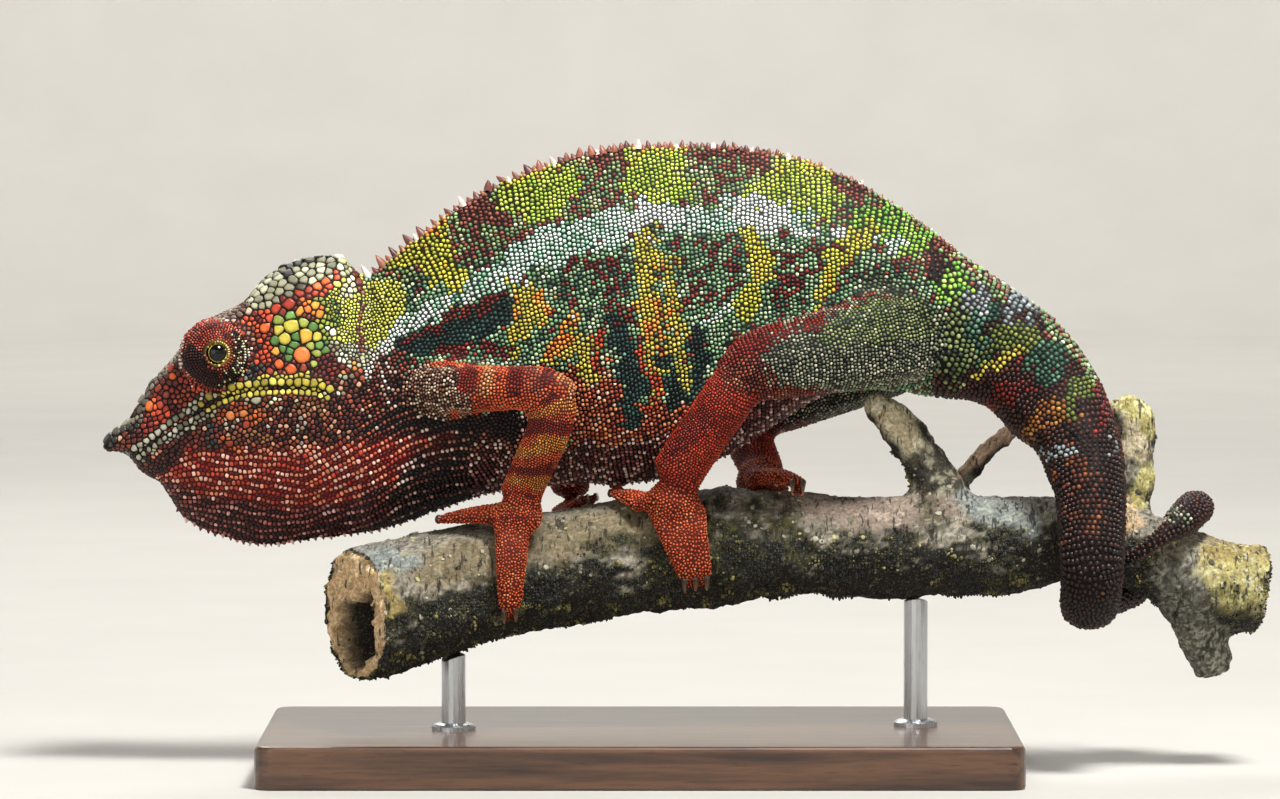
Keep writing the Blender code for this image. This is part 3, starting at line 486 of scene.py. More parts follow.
paints = {name: readPaint(text) for name, text in paints.items()}
evenPaints = ["bellyDark", "bellyRed", "rumpDark", "throatRed", "throatDark", "neckDark", "jawDark",
              "turretSpeck", "thighDark", "shoulderPale"]
markingGroups = {
    "trunk": ("flank", ["neck", "trunk"]), "head": ("head", ["head", "casque", "lower_jaw"]),
    "turret": ("turretRed", bothSides("eye_turret")), "arm": ("arm", bothSides("upper_arm")),
    "forearm": ("arm", bothSides("forearm")), "foot": ("foot", bothSides("forefoot")),
    "thigh": ("thigh", bothSides("thigh")), "shin": ("shin", bothSides("shin")),
    "hindfoot": ("foot", bothSides("hindfoot")),
    "tail": ("tail", ["tail_root", "tail_bend", "tail_coil_front", "tail_coil_back", "tail_tip"]),
}
markings = {  # strokes on the drawing of the flank: paint, strength, soft edge: x, z, half-width of points
    "trunk": [
        "backBrown 1 2.1: -51 107 5.5, -36 117 9.5, -21 123 9.5, -8 126 9, 13 127 9, 34 125 9, 50 117 7, "
        "62 109 5.5",
        "neckDark 1 2.1: -54 84 3.5, -50 74 6.5, -40 69 8.5, -29 69 7.5, -21 63 6.5",
        "jawDark 1 2.5: -61 78 4.5, -56 72 4",
        "napeGrey 0.9 2.1: -61 88 3, -56 88 2, -60 84 2",
        "throatRed 1 2.9: -63 63 6, -55 64 5, -46 67 4, -41 68 2",
        # the flank under the upper arm is painted near black: painted shade
        "underArm 0.95 2.9: -45 73 1.5, -36 74 2.5, -27 74 3",
        "neckDark 0.9 2.9: -44 66 3, -36 65 4, -27 66 4",
        "throatDark 1 2.9: -55 58 3, -63 50 4, -50 53 4.5, -36 57 4",
        "bellyRed 1 3.4: -17 78 5.5, -10 78 7, -8 69 7.5, 10 67 10.5",
        "bellyDark 1 2.5: -44 57 8.5, -19 61 6, -4 63 5.5, 13 67 6.5, 25 72 7, 36 79 5.5",
        "rumpDark 1 2.9: 50 99 5.5, 55 91 8.5, 63 88 6.5",
        "napeLime 1 1.7: -61 104 3, -61 94 3.5, -55 99 4, -55 92 3.5, -52 99 3.5",
        "limeYellow 1 2.5: -51 107 2, -45 111 4.5, -42 107 4.5, -38 103 3",
        "orange 0.75 1.3: -47 112 1.5, -44 114 2, -41 117 1.5",
        "lime 1 3.1: -27 121 3.5, -22 124 5, -20 120 5, -16 122 4",
        "limeYellow 0.8 2.1: -28 122 1.5, -24 125 2",
        "lime 1 3.1: 3 131 7, 3 123 6.5",
        "limeYellow 0.55 3.1: 0 130 3, 8 130 2.5",
        "lime 1 3.1: 28 121 5.5, 33 126 6.5, 37 122 6",
        "limeYellow 0.5 2.1: 28 128 1.5, 38 125 2.5, 41 124 1.5",
        "grass 1 3.1: 48 115 3.5, 52 115 4.5, 56 112 4, 60 112 2.5",
        "grass 0.9 3.1: 63 99 2, 65 102 4, 68 105 2.5",
        "backDark 0.7 1.7: -49 113 0.5, -44 116 0.5, -39 120 1",
        "backDark 1 2.9: -37 118 2, -33 122 2, -31 117 1.5",
        "backDark 1 2.9: -13 129 1.5, -8 131 1.5, -7 128 1.5",
        "backDark 1 2.9: 13 131 1.5, 20 131 2, 25 129 1.5",
        "backDark 1 2.9: 42 124 1.5, 46 122 1.5",
        "backDark 1 2.9: 60 112 1.5, 64 109 1.5, 60 107 1.5",
        "mint 0.95 1.9: -54 88 1, -52 90 1.5, -50 93 2, -42 96 2, -36 100 2, -31 103 2.5, -26 107 3, "
        "-19 110 3.5, -13 112 3.5, -5 114 3.5, 3 116 3, 13 116 3.5, 22 116 3, 30 117 2.5, 36 115 1.5",
        "white 0.5 1.1: -54 88 1, -50 93 1.5, -42 96 1.5, -36 100 1.5, -31 104 1.5, -26 106 1.5",
        "white 1 1.1: -3 116 1.5, 2 116 2.5, 6 116 2.5",
        "white 0.4 1.1: 10 116 1.5, 18 117 1.5",
        "white 1 1.1: 21 118 2, 26 117 2.5, 31 117 2",
        "white 0.9 0.8: 33 114 1, 38 114 1",
        "white 0.9 0.8: 42 113 1, 45 113 0.5",
        "mint 0.9 0.8: 48 111 1, 51 113 0.5",
        "mint 0.9 0.8: 53 110 1, 57 111 0.5",
        "neckLine 0.55 1.7: -58 82 0.5, -55 87 1, -53 90 1",
        "neckLine 0.45 1.7: -53 78 0.5, -54 84 1, -52 88 1",
        "tealDark 1 2.1: -50 89 1.5, -42 91 2.5, -34 94 3.5, -29 96 3",
        "redEdge 0.9 0.6: -50 89 0.5, -45 92 0.5, -41 94 0.5, -36 96 0.5, -30 100 1",
        "redEdge 0.7 1.3: -42 88 1.5, -36 89 1.5, -29 88 1.5",
        "yellow 0.9 2.1: -28 102 1.5, -25 99 2.5, -21 97 2.5, -25 91 2, -26 88 1.5",
        "orange 0.8 0.8: -20 98 1.5, -19 96 1",
        "orange 0.7 0.8: -28 99 1, -26 96 1.5",
        "white 1 0.4: -25 101 1",
        "yellow 0.75 1.7: -18 89 2.5, -12 89 3, -10 84 2.5",
        "orange 0.8 1.1: -13 95 2, -16 92 1.5, -18 89 1.5",
        "white 1 0.4: -14 95 1",
        "orangeRed 0.8 1.3: -9 90 1.5, -8 85 1.5",
        "yellow 0.9 2.1: 2 112 2.5, 2 105 2.5, 2 99 2, 2 92 2, 3 86 2, 2 78 2",
        "yellow 0.75 2.3: 6 107 1.5, 7 99 2, 8 90 2, 8 83 1.5",
        "orange 0.85 0.8: 3 99 1, 2 95 1.5, 2 92 1",
        "orange 0.8 0.8: 5 105 1",
        "orange 0.6 0.8: 7 98 1, 5 92 1, 6 88 1",
        "white 1 0.4: 3 111 0.5",
        "orangeRed 0.7 1.1: 0 88 1.5, 2 81 1.5, 1 75 1.5",
        "limeYellow 0.9 2.5: 25 113 2.5, 25 105 2.5, 24 100 2.5, 21 96 2",
        "yellow 0.7 0.8: 25 108 1.5, 24 103 1.5",
        "limeYellow 0.9 2.5: 48 113 2, 43 109 2.5, 39 104 2.5, 37 99 1.5",
        "yellow 0.7 1.1: 39 103 1.5, 36 99 1.5",
        "tealDark 0.95 2.3: -5 95 2, -3 88 2, -2 81 2, -2 74 1.5",
        "tealDark 0.9 1.9: 5 88 1, 6 83 1.5, 7 77 1.5",
        "tealDark 0.85 2.5: 13 92 2, 12 86 2, 10 79 1.5",
        "redEdge 0.8 0.6: -7 94 0.5, 0 94 0.5",
        "redEdge 0.75 0.6: -2 113 1, -1 112 0.5",
        "mint 0.6 1.1: 14 95 1.5, 17 96 1.5",
        "redEdge 0.6 1.1: -10 105 1, -4 109 1",
        "redEdge 0.55 1.3: -8 99 1, -4 103 1",
        "redEdge 0.55 1.3: 11 99 1, 14 107 1, 16 111 0.5",
        "redEdge 0.5 1.3: 18 100 1, 20 107 1",
        "redEdge 0.5 1.3: 29 99 1, 32 105 1",
        "redEdge 0.7 0.6: -14 107 1, -13 108 0.5",
        "redEdge 0.7 0.8: 29 108 1, 33 108 0.5",
        "redEdge 0.6 0.8: 31 101 1, 34 105 1, 37 108 1, 44 112 0.5",
    ],
    "head": [
        "jawDark 1 2.1: -87.1 71.4 4.2, -73.5 72.5 5.5, -65.1 71.4 6.3, -56.7 77.7 6.3",
        "throatRed 1 2.5: -102.9 64 2.1, -92.4 61.9 5, -73.5 60.9 6.3, -60.9 61.9 7.1, -46.2 66.1 6.3",
        "throatDark 1 2.5: -98.7 56.7 2.9, -89.2 51.4 4.2, -73.5 49.4 5, -54.6 52.5 4.2, -39.9 55.6 5.5",
        "chin 1 1.5: -106.3 65.9 1.5, -102.9 63.4 1.9, -97.6 66.1 1.7",
        "napeLime 1 1.7: -63 101.8 2.7, -61.9 96.6 3.4, -61.3 92.4 2.9, -55 98.7 5",
        "napeLime 0.9 1.1: -65.9 100.4 1.5, -64.9 95.5 1.9, -64.5 90.3 1.7",
        "templeGreen 0.6 1.1: -65.1 98.7 1.3, -64.3 94.1 1.3",
        "brownLine 0.6 1.3: -59.2 106.7 0.6, -58.6 98.7 0.8, -58.8 91.3 0.8",
        "napeGrey 0.9 1.7: -65.1 88.2 1.7, -60.9 87.1 2.9, -61.9 83.6 2.1",
        "plateGrey 1 1.1: -84 97.6 1.7, -80.2 99.5 2.5, -76 102.5 3.4, -71.4 103.7 3.8, -66.1 105.4 3.1, "
        "-63.4 106.7 1.7",
        "greyDark 0.5 1.3: -84 98.7 0.8, -79.4 102.1 0.8, -74.5 105.4 1.1, -69.3 107.5 1.1, -64 108.8 1.1",
        "cream 0.9 1.1: -61.7 107.5 1.3, -60.9 104 1.5, -61.3 100.8 1.5",
        "browGrey 1 1.1: -91.3 94.1 1.1, -87.1 96.2 1.5, -83 97.9 1.5",
        "orangeRed 0.9 0.6: -79.4 96.2 0.8, -76.6 96.8 0.6, -73.5 97.9 1.1",
        "orangeRed 0.9 0.6: -70.8 100 0.6, -68.2 101 0.6, -65.7 102.3 0.8, -63.4 104.6 0.6",
        "templeGreen 1 0.8: -76.4 94.5 1.9, -73.1 94.5 2.5, -70.1 91.3 3.4, -74.5 90.3 2.5, -71.4 87.8 2.1, "
        "-66.8 89.2 1.7",
        "templeLime 1 0.8: -67.6 98.7 1.5, -66.4 95.3 1.9, -65.9 91.6 1.7",
        "orange 1 0.6: -71 98.1 0.8, -68.5 97.4 1.3, -67.2 96.2 1.1",
        "orangeRed 1 0.6: -78.5 92.8 1.1, -79.4 94.9 0.8",
        "brownLine 0.8 0.6: -76.2 88.2 0.8",
        "white 0.7 0.4: -65.7 92.6 0.4",
        "redEdge 0.8 0.8: -69.3 84.4 1.1, -64 84.4 1.3, -61.9 83 1.1",
        "orange 0.6 1.1: -61.9 83.6 1.1, -60.5 85.7 0.8",
        "orangeRed 0.95 1.1: -82.7 94.9 1.3, -80.2 92.4 1.3, -78.5 88.2 1.1, -79 85.7 1.1",
        "orangeRed 0.8 0.8: -96.6 81.5 0.8, -92.4 79 1.1, -87.1 79.4 0.8",
        "greyDark 0.8 0.8: -82.7 83.6 1.3, -79.4 83.2 1.1",
        "tealDark 0.7 0.8: -98.3 80.8 0.8, -94.9 78.5 0.8",
        "snoutRed 1 1.3: -102.9 72.5 2.9, -99.1 76.6 3.8, -96.6 80.8 2.1, -94.5 75.2 1.7",
        "orangeRed 0.9 0.8: -102.1 77.3 1.5, -100.8 74.3 1.5, -102.5 72.7 1.1",
        "orangeRed 0.9 0.6: -98.7 84.8 0.8, -97.9 82.7 0.8",
        "snoutGrey 0.9 0.8: -91.1 94.1 0.8, -95.3 89.9 1.1, -98.7 85.7 1.1, -102.5 82.3 1.3, "
        "-104.8 79.4 1.3, -103.7 76 1.3",
        "rostral 1 0.8: -112.6 68.9 1.7, -110.5 70.6 1.7, -108.4 72.2 1.5",
        "snoutGrey 0.9 0.6: -107.5 72.7 1.1, -105.4 73.5 0.8",
        "lipGrey 0.95 0.4: -105.8 67.2 0.5, -102.9 69.9 0.6, -97.6 74.1 0.8, -92.4 77.1 0.8, -87.8 79.4 0.8",
        "lipOlive 1 0.6: -87.8 78.5 0.6, -84.8 79.8 1.1, -81.9 80.6 1.3, -77.3 81.5 1.5, -71.4 81.7 1.5, "
        "-66.8 81.1 1.3, -65.3 80.4 0.8",
        "lipGrey 0.8 0.6: -105 65.1 0.5, -100.8 68 0.6, -95.5 71.6 0.6, -91.3 73.7 0.6, -85.7 76 0.6, "
        "-79.4 77.5 0.6",
        "cream 0.55 0.6: -79.4 77.5 0.6, -73.5 77.7 0.6, -66.4 77.3 0.6",
        # the mouth line is painted near black: the seam's own dark colour and painted shade in its groove
        "mouthBlack 1 0.3: -106.7 65.7 0.2, -102.9 68.2 0.3, -96.6 73.1 0.3, -92.4 75.4 0.3, -88.2 77.9 0.3, "
        "-81.9 79.6 0.3, -75.6 80.2 0.3, -69.3 80 0.3, -65.5 79 0.2",
        "napeGrey 0.9 0.6: -64.5 80.2 1.1, -63 79 0.6",
        "jawOrange 0.95 1.1: -87.8 73.9 1.3, -84.4 75.2 1.5, -80.6 74.3 1.5",
        "jawOrange 0.7 1.1: -87.1 69.3 1.1, -84 66.8 1.1",
        "jawTan 0.7 1.3: -71.4 76.6 1.3, -66.1 76 1.7",
        "jawTan 0.6 1.3: -84 68.9 1.7, -79.4 70.1 1.7",
        "greyDark 0.7 1.1: -90.3 71.4 1.5, -89.5 68 1.3",
    ],
    "turret": [
        "turretRed 1 0.8: -90.3 92.8 2.9, -86.5 93.2 2.5, -83.2 90.7 1.9",
        "turretSpeck 1 1.5: -85.3 91.6 1.1, -83.4 88.6 1.7, -82.7 85.7 1.9, -84.4 82.7 2.1, -87.4 81.5 1.7",
        "turretDark 0.95 2.1: -93.7 86.9 1.7, -92.8 84 2.5, -89.9 81.9 2.1",
        "turretRed 0.9 0.6: -95.3 82.7 0.6, -92.4 80.2 0.8, -87.8 79.8 0.8",
        "turretPale 1 0.4: -84.4 92.6 0.3, -82.3 91.1 0.4, -81.3 88.6 0.4, -81.5 85.7 0.4",
        "turretPale 0.8 0.6: -94.9 89.9 0.5, -96 87.1 0.5, -95.8 84.4 0.4",
    ],
    "arm": [
        "shoulderPale 1 1.7: -50 80 5.5, -45 79 6.5, -40 81 4.5, -37 76 2",
        "armDark 0.95 1.1: -37 80 1.5, -36 84 1.5",
        "armPale 0.9 0.8: -33 80 1.5, -32 84 1.5",
        "armDark 1 0.8: -28 80 1.5, -26 85 1.5",
        "armPink 0.9 1.1: -22 81 2, -23 84 1.5",
        "armDark 0.8 0.8: -19 84 1.5, -20 81 1",
        "armPale 0.8 1.3: -16 84 2, -14 79 2",
    ],
    "forearm": [
        "armPale 0.9 1.1: -14 81 2, -16 78 1.5",
        "orangeRed 0.6 1.1: -21 82 2, -18 84 1.5",
        "armDark 1 0.6: -23 77 1, -18 79 1, -13 79 0.5",
        "armTan 0.9 0.8: -23 74 1, -18 76 1.5, -13 76 1",
        "armDark 1 0.6: -26 71 1.5, -21 72 1.5, -14 71 1.5",
        "armTan 1 0.8: -25 67 1, -20 68 2, -16 68 1.5",
        "armDark 1 0.6: -28 63 1, -22 63 1, -18 63 1",
        "armTan 0.9 0.8: -27 60 1, -23 60 1.5, -19 60 1.5",
        "armDark 0.6 0.6: -29 58 0.5, -25 57 0.5, -21 57 0.5",
    ],
    "foot": [
        "armTan 0.6 0.8: -31 56 0.5, -28 55 0.5, -25 55 0.5",
        "footDark 0.55 1.1: -31 52 1, -24 53 1",
        "footDark 0.4 1.3: -28 47 1, -25 42 1",
    ],
    "thigh": [
        "thighDark 1 5.5: 32 88 7.5, 48 88 10.5, 63 88 10.5",
        "thighGreen 0.8 3.4: 40 92 3.5, 50 94 5, 65 96 5",
        "orangeRed 0.95 1.1: 17 92 1, 21 95 1.5, 27 97 1.5, 35 99 1.5, 44 100 1",
        "armDark 0.7 1.7: 18 88 3, 29 92 2, 38 95 1.5",
        "paleFold 0.8 1.1: 47 100 1, 51 102 1, 54 100 1",
    ],
    "shin": [
        "shinPale 0.7 1.9: 18 88 2.5, 20 82 3",
        "orangeRed 0.6 1.1: 17 92 1.5, 13 85 1, 10 79 1",
        "armDark 0.6 1.7: 13 74 3, 6 67 3",
    ],
    "hindfoot": [
        "footDark 0.5 1.3: 7 58 1, 13 59 1",
    ],
    "tail": [
        "rumpDark 1 2.1: 56 92 7, 64 89 6.5",
        "thighGreen 0.9 2.9: 62 99 4, 67 92 4.5, 66 85 3.5",
        "grass 0.9 3.8: 62 101 3, 66 102 4.5, 69 105 3.5",
        "backBrown 0.9 1.3: 60 112 1.5, 67 107 1.5, 72 103 2, 78 100 2, 84 96 2, 91 88 2, 95 82 1.5",
        "tailTeal 0.9 1.7: 72 88 2, 70 94 2.5, 74 97 2.5",
        "tailLime 1 1.5: 74 89 2, 77 91 2.5, 80 92 2.5, 82 89 2",
        "yellow 0.8 1.1: 72 83 1.5, 76 86 1.5, 79 88 1.5",
        "shed 0.85 1.1: 68 97 1, 71 100 1.5, 72 96 1.5",
        "shed 0.85 1.1: 76 94 1, 79 99 1.5, 82 96 1.5, 80 93 1",
        "tailTeal 0.95 1.3: 82 84 1.5, 85 89 2, 88 87 2, 86 83 2",
        "redEdge 0.9 1.3: 75 78 2, 78 80 2, 82 79 1.5",
        "redEdge 0.7 1.1: 80 86 1, 79 84 1",
        "tailLime 0.9 1.3: 90 79 1.5, 92 82 1.5, 94 79 1.5",
        "tailOrange 0.95 1.3: 83 72 2, 88 76 2, 91 74 2",
        "tailLime 0.6 1.1: 91 78 1, 90 75 1.5",
        "redEdge 0.9 1.3: 96 80 1.5, 98 75 1.5, 97 71 1.5",
        # the lower coil is painted much darker than the tail above it: painted shade
        "tailDark 1 1.7: 82 66 3, 88 65 3.5, 97 66 3, 100 71 1.5",
        "tailDark 1 1.7: 93 61 9.5, 93 52 9.5, 94 44 9, 97 38 8.5",
        "tailRows 0.8 1.7: 89 69 1.5, 92 62 4.5, 93 56 4.5, 93 50 3.5",
        "shed 0.6 0.8: 86 66 1, 89 68 1, 93 67 0.5",
        "shed 0.5 0.8: 99 69 0.5, 101 63 0.5",
        # the bottom of the coil, under the branch, is painted near black: painted shade
        "tailSmooth 1 1.7: 92 43 5, 93 38 4.5",
        "thighDark 0.7 1.3: 107 52 1.5, 112 54 1.5, 114 52 1.5",
    ],
}
markings = {group: [readStroke(text) for text in strokes] for group, strokes in markings.items()}


# folds of the skin: parts, height, soft edge and stroke on the drawing of the flank

folds = [
    (["head", "lower_jaw"], -0.55, 0.5, [(-106.7, 65.9, 0.2), (-102.9, 68.9, 0.3), (-96.6, 73.3, 0.3),
        (-92.4, 75.4, 0.3), (-88.2, 78.1, 0.3), (-81.9, 79.8, 0.3), (-75.6, 80.2, 0.3), (-69.3, 79.8, 0.3),
        (-65.5, 78.5, 0.3)]),
    (["head"], 0.35, 0.8, [(-86.9, 79.4, 0.6), (-81.9, 81.3, 0.8), (-75.6, 82.1, 1.1), (-67.2, 81.7, 1.1)]),
    (["lower_jaw"], 0.35, 0.8, [(-102.9, 67.6, 0.6), (-92.4, 74.1, 0.6), (-84, 77.5, 0.8),
        (-73.5, 78.3, 0.8), (-66.8, 78.1, 0.6)]),
]


# paint: the animal's colours

eyeSizes = {"place": (-88.8, 8.2, 87.6), "gaze": (0.17, 1.0, 0.10), "rimRadius": 2.1, "goldRadius": 2.7,
            "gold": ["F2E48C", "DCC862", "C0A848"], "bareGold": ["6A541C"]}
fleshGroups = {
    "head": ["head", "casque", "lower_jaw"], "turret": bothSides("eye_turret"), "trunk": ["neck", "trunk"],
    "tail": ["tail_root", "tail_bend", "tail_coil_front", "tail_coil_back", "tail_tip"],
    "limb": bothSides("upper_arm", "forearm", "thigh", "shin"),
    "foot": bothSides("forefoot", "hindfoot"),
}
fleshNames = sum(fleshGroups.values(), [])


def belongs(owners, names):
    return np.isin(owners, [fleshNames.index(name) for name in names])


def brushCover(place, stroke, soft):
    # 1 inside a stroke of changing width, 0 outside, soft at its edge
    rows = np.array(stroke, float)
    if len(rows) == 1:
        rows = np.vstack([rows, rows + [0.01, 0, 0]])
    inside = np.full(len(place), -1e3)
    for start, stop in zip(rows[:-1], rows[1:]):
        way = stop[:2] - start[:2]
        share = np.clip((place - start[:2]) @ way / max(way @ way, 1e-6), 0, 1)
        gap = np.linalg.norm(place - start[:2] - share[:, None] * way, axis=1)
        inside = np.maximum(inside, start[2] + share * (stop[2] - start[2]) - gap)
    cover = np.clip(inside / soft + 0.5, 0, 1)
    return cover * cover * (3 - 2 * cover)


def sideView(points):
    # where a point shows on a drawing of the flank, which is taken in a little where the body bulges
    near, distance, middle = -np.abs(points[:, 1]), studio["cameraDistance"] / mm, studio["aimHeight"] / mm
    scale = distance / (distance + near)
    lean = math.tan(math.radians(studio["cameraDegrees"]))
    return np.column_stack([points[:, 0] * scale, middle + (points[:, 2] - middle + lean * near) * scale])


def alongLimb(points, axis):
    # share along a limb's middle line, and the distance beside it as seen from the flank
    rows = evenly(smoothCurve(axis), 1.0)
    at = nearestIn(points, treeOf(rows))
    ways = unit(np.gradient(rows[:, [0, 2]], axis=0))[at]
    side = np.column_stack([-ways[:, 1], ways[:, 0]])
    beside = np.sum((points[:, [0, 2]] - rows[at][:, [0, 2]]) * side, axis=1)
    return at / (len(rows) - 1), beside


def markingPlace(points, owners):
    # the place on the drawing; the right limbs stand otherwise, so theirs are carried over from the left ones
    place = sideView(points)
    for name, axis in limbAxes.items():
        mine = belongs(owners, [name])
        if name.endswith("_right") and mine.any():
            share, beside = alongLimb(points[mine], axis)
            left = evenly(smoothCurve(limbAxes[name.replace("_right", "_left")]), 1.0)
            at = np.clip((share * (len(left) - 1)).round().astype(int), 0, len(left) - 1)
            way = unit(np.gradient(left[:, [0, 2]], axis=0))[at]
            twin = left[at].copy()
            twin[:, 0] -= way[:, 1] * beside
            twin[:, 2] += way[:, 0] * beside
            place[mine] = sideView(twin)
    return place


def eyeFrame(side):
    # the middle of one eye turret, the way its eye looks, and two ways across that
    middle, gaze = (np.array(eyeSizes[key]) * (1, side, 1) for key in ("place", "gaze"))
    across = unit(np.cross(unit(gaze), (0, 0, 1)))
    return middle, unit(gaze), across, np.cross(across, unit(gaze))


def gazeRadius(points):
    # distance from the line along which the eye on the same side looks
    middle, gaze, _, _ = eyeFrame(1)
    away = points * np.column_stack([np.ones(len(points)), np.where(points[:, 1] < 0, -1.0, 1.0),
                                     np.ones(len(points))]) - middle
    return np.linalg.norm(away - (away @ gaze)[:, None] * gaze, axis=1)


def noisePair(points, size, layers, seed):
    return np.column_stack([noiseStack(points, size, layers, start) for start in (seed, seed + 1)])


def paintAt(points, owners, asScales, seed):
    # colours of skin or of scales: the ground of each part, then its strokes one over another
    random = np.random.default_rng(seed)
    loose = 0.35 + 1.5 * belongs(owners, ["trunk", "tail_root", "tail_bend"])
    place = markingPlace(points, owners) + noisePair(points, 7.0, 3, 1.0) * 1.1
    place += noisePair(points, 3.0, 2, 3.0) * loose[:, None]
    tints = np.zeros((len(points), 3))
    for group, (ground, parts) in markingGroups.items():
        mine = belongs(owners, parts)
        count = int(mine.sum())
        if not count:
            continue
        colours = np.zeros((count, 3))
        for paint, strength, soft, stroke in [(ground, 1, 0, None)] + markings[group]:
            bare, codes, shares = paints[paint]
            cover = strength * brushCover(place[mine], stroke, soft) if stroke else np.ones(count)
            if asScales:
                # neighbours share their colour in short slanting streaks, as scales do
                lean = np.array([0.45, 0.0, 0.89])
                squeezed = points[mine] - np.outer(points[mine] @ lean, lean) * 0.76
                cluster = 0.5 + 0.66 * softNoise(squeezed, 1.2, 5.0)
                draw = np.clip(0.55 * cluster + 0.45 * random.random(count), 0, 0.999)
                hit = cover > 0.15 + 0.7 * random.random(count)
                order = random.random(count) if paint in evenPaints else draw
                colours[hit] = codes[np.searchsorted(shares, order).clip(0, len(codes) - 1)][hit]
            else:
                colours += (bare - colours) * cover[:, None]
        tints[mine] = colours
    # the lids' gold edge, all round each pupil
    edge = belongs(owners, fleshGroups["turret"]) & (gazeRadius(points) < eyeSizes["goldRadius"])
    gold = np.array([linearColour(code) for code in eyeSizes["gold" if asScales else "bareGold"]])
    tints[edge] = gold[random.integers(0, len(gold), int(edge.sum()))]
    if asScales:
        tints *= (1 + 0.22 * random.standard_normal(len(points)))[:, None].clip(0.5, 1.6)
    return tints


# skin: one closed surface inside the flesh nodes by the coat's depth

skinSizes = {
    "swell": 0.25, "voxel": 0.79, "inset": 0.42, "allowed": 0.1, "mostGivenBack": 1.6,
    "evenOut": {"trunk": 60, "limb": 34, "tail": 44, "head": 12, "foot": 8, "turret": 8},
}
lidSizes = {"forward": 7.1, "radius": 2.72, "thick": 1.0, "turns": 36, "sides": 12}


def addLids(points, faces, owners):
    # a soft ring in front of each eyeball, which the fused skin takes in as the lid's rim
    for side, name in ((-1, "eye_turret_left"), (1, "eye_turret_right")):
        middle, gaze, across, up = eyeFrame(side)
        middle, thick, ring = middle + gaze * lidSizes["forward"], lidSizes["thick"], []
        for turn in turnsOf(lidSizes["turns"]):
            out = across * math.cos(turn) + up * math.sin(turn)
            ring += [middle + out * (lidSizes["radius"] + thick * math.cos(tilt))
                     + gaze * thick * math.sin(tilt) for tilt in turnsOf(lidSizes["sides"])]
        rim = ringFaces(lidSizes["turns"], lidSizes["sides"], len(points), True)
        faces += [list(face) if side < 0 else list(face[::-1]) for face in rim]
        points = np.vstack([points, ring])
        owners = np.append(owners, [fleshNames.index(name)] * len(rim))
    return points, faces, owners


def makeSkin():
    points, faces, owners = addLids(*joinSolids(fleshNames, skinSizes["swell"]))
    solids = BVHTree.FromPolygons([Vector(p) for p in points], faces)
    skin, skinFaces, edges = fuse("rough_skin", points, faces, skinSizes["voxel"])
    owner = np.array([owners[solids.find_nearest(p)[2]] for p in skin])
    steps = [skinSizes["evenOut"][group] for group, names in fleshGroups.items() for _ in names]
    steps = relax(np.array(steps)[owner][:, None] * np.ones((1, 3)), edges, 0.5, 10)[:, 0]
    most = int(steps.max())
    strength = np.clip(steps * 2 / most, 0, 1)
    for _ in range(most // 2):
        skin = relax(skin, edges, 0.5 * strength, 2)
        skin = relax(skin, edges, -0.515 * strength, 1)
        skin = relax(skin, edges, 0.5 * strength * 0.12, 1)
    normals = normalsOf(skin, skinFaces)
    # what smoothing took off ridges such as the crest of the back is given back, softly
    lost = np.zeros(len(skin))
    for i, point in enumerate(skin):
        spot, normal, _, _ = solids.find_nearest(point)
        lost[i] = max(0.0, -(point - np.array(spot)) @ np.array(normal) - skinSizes["allowed"])
    given = relax(lost[:, None] * np.ones((1, 3)), edges, 0.5, 8)[:, :1].clip(0, skinSizes["mostGivenBack"])
    skin = skin + normals * given
    normals = normalsOf(skin, skinFaces)
    skin = skin - normals * (skinSizes["inset"] + skinSizes["swell"])
    # folds and grooves: strokes on the drawing of the flank, pressed in or raised
    place, lift = markingPlace(skin, owner), np.zeros(len(skin))
    for names, depth, soft, stroke in folds:
        mine = belongs(owner, names)
        lift[mine] += depth * brushCover(place[mine], stroke, soft)
    return skin + normals * lift[:, None], skinFaces, edges, owner


skinPoints, skinFaces, skinEdges, skinOwners = makeSkin()
skinNormals = normalsOf(skinPoints, skinFaces)
skinTree = BVHTree.FromPolygons([Vector(p) for p in skinPoints], skinFaces)
faceCorners = np.array([face[:3] for face in skinFaces])
print("skin ready:", len(skinPoints), "points")


# coat: thousands of separate scales, each a small dome that fills its share of the skin

coatSizes = {
    "pitch": {"trunk": 0.92, "neck": 0.86, "tail_root": 1.12, "tail_bend": 1.18, "tail_coil_front": 1.0,
              "tail_coil_back": 0.94, "tail_tip": 0.86, "upper_arm": 0.74, "forearm": 0.58, "forefoot": 0.58,
              "thigh": 0.78, "shin": 0.66, "hindfoot": 0.62, "head": 0.98, "casque": 1.5, "lower_jaw": 0.9,
              "eye_turret": 0.72},
    "root": 0.18, "bevel": 0.18, "gap": 0.055,
}
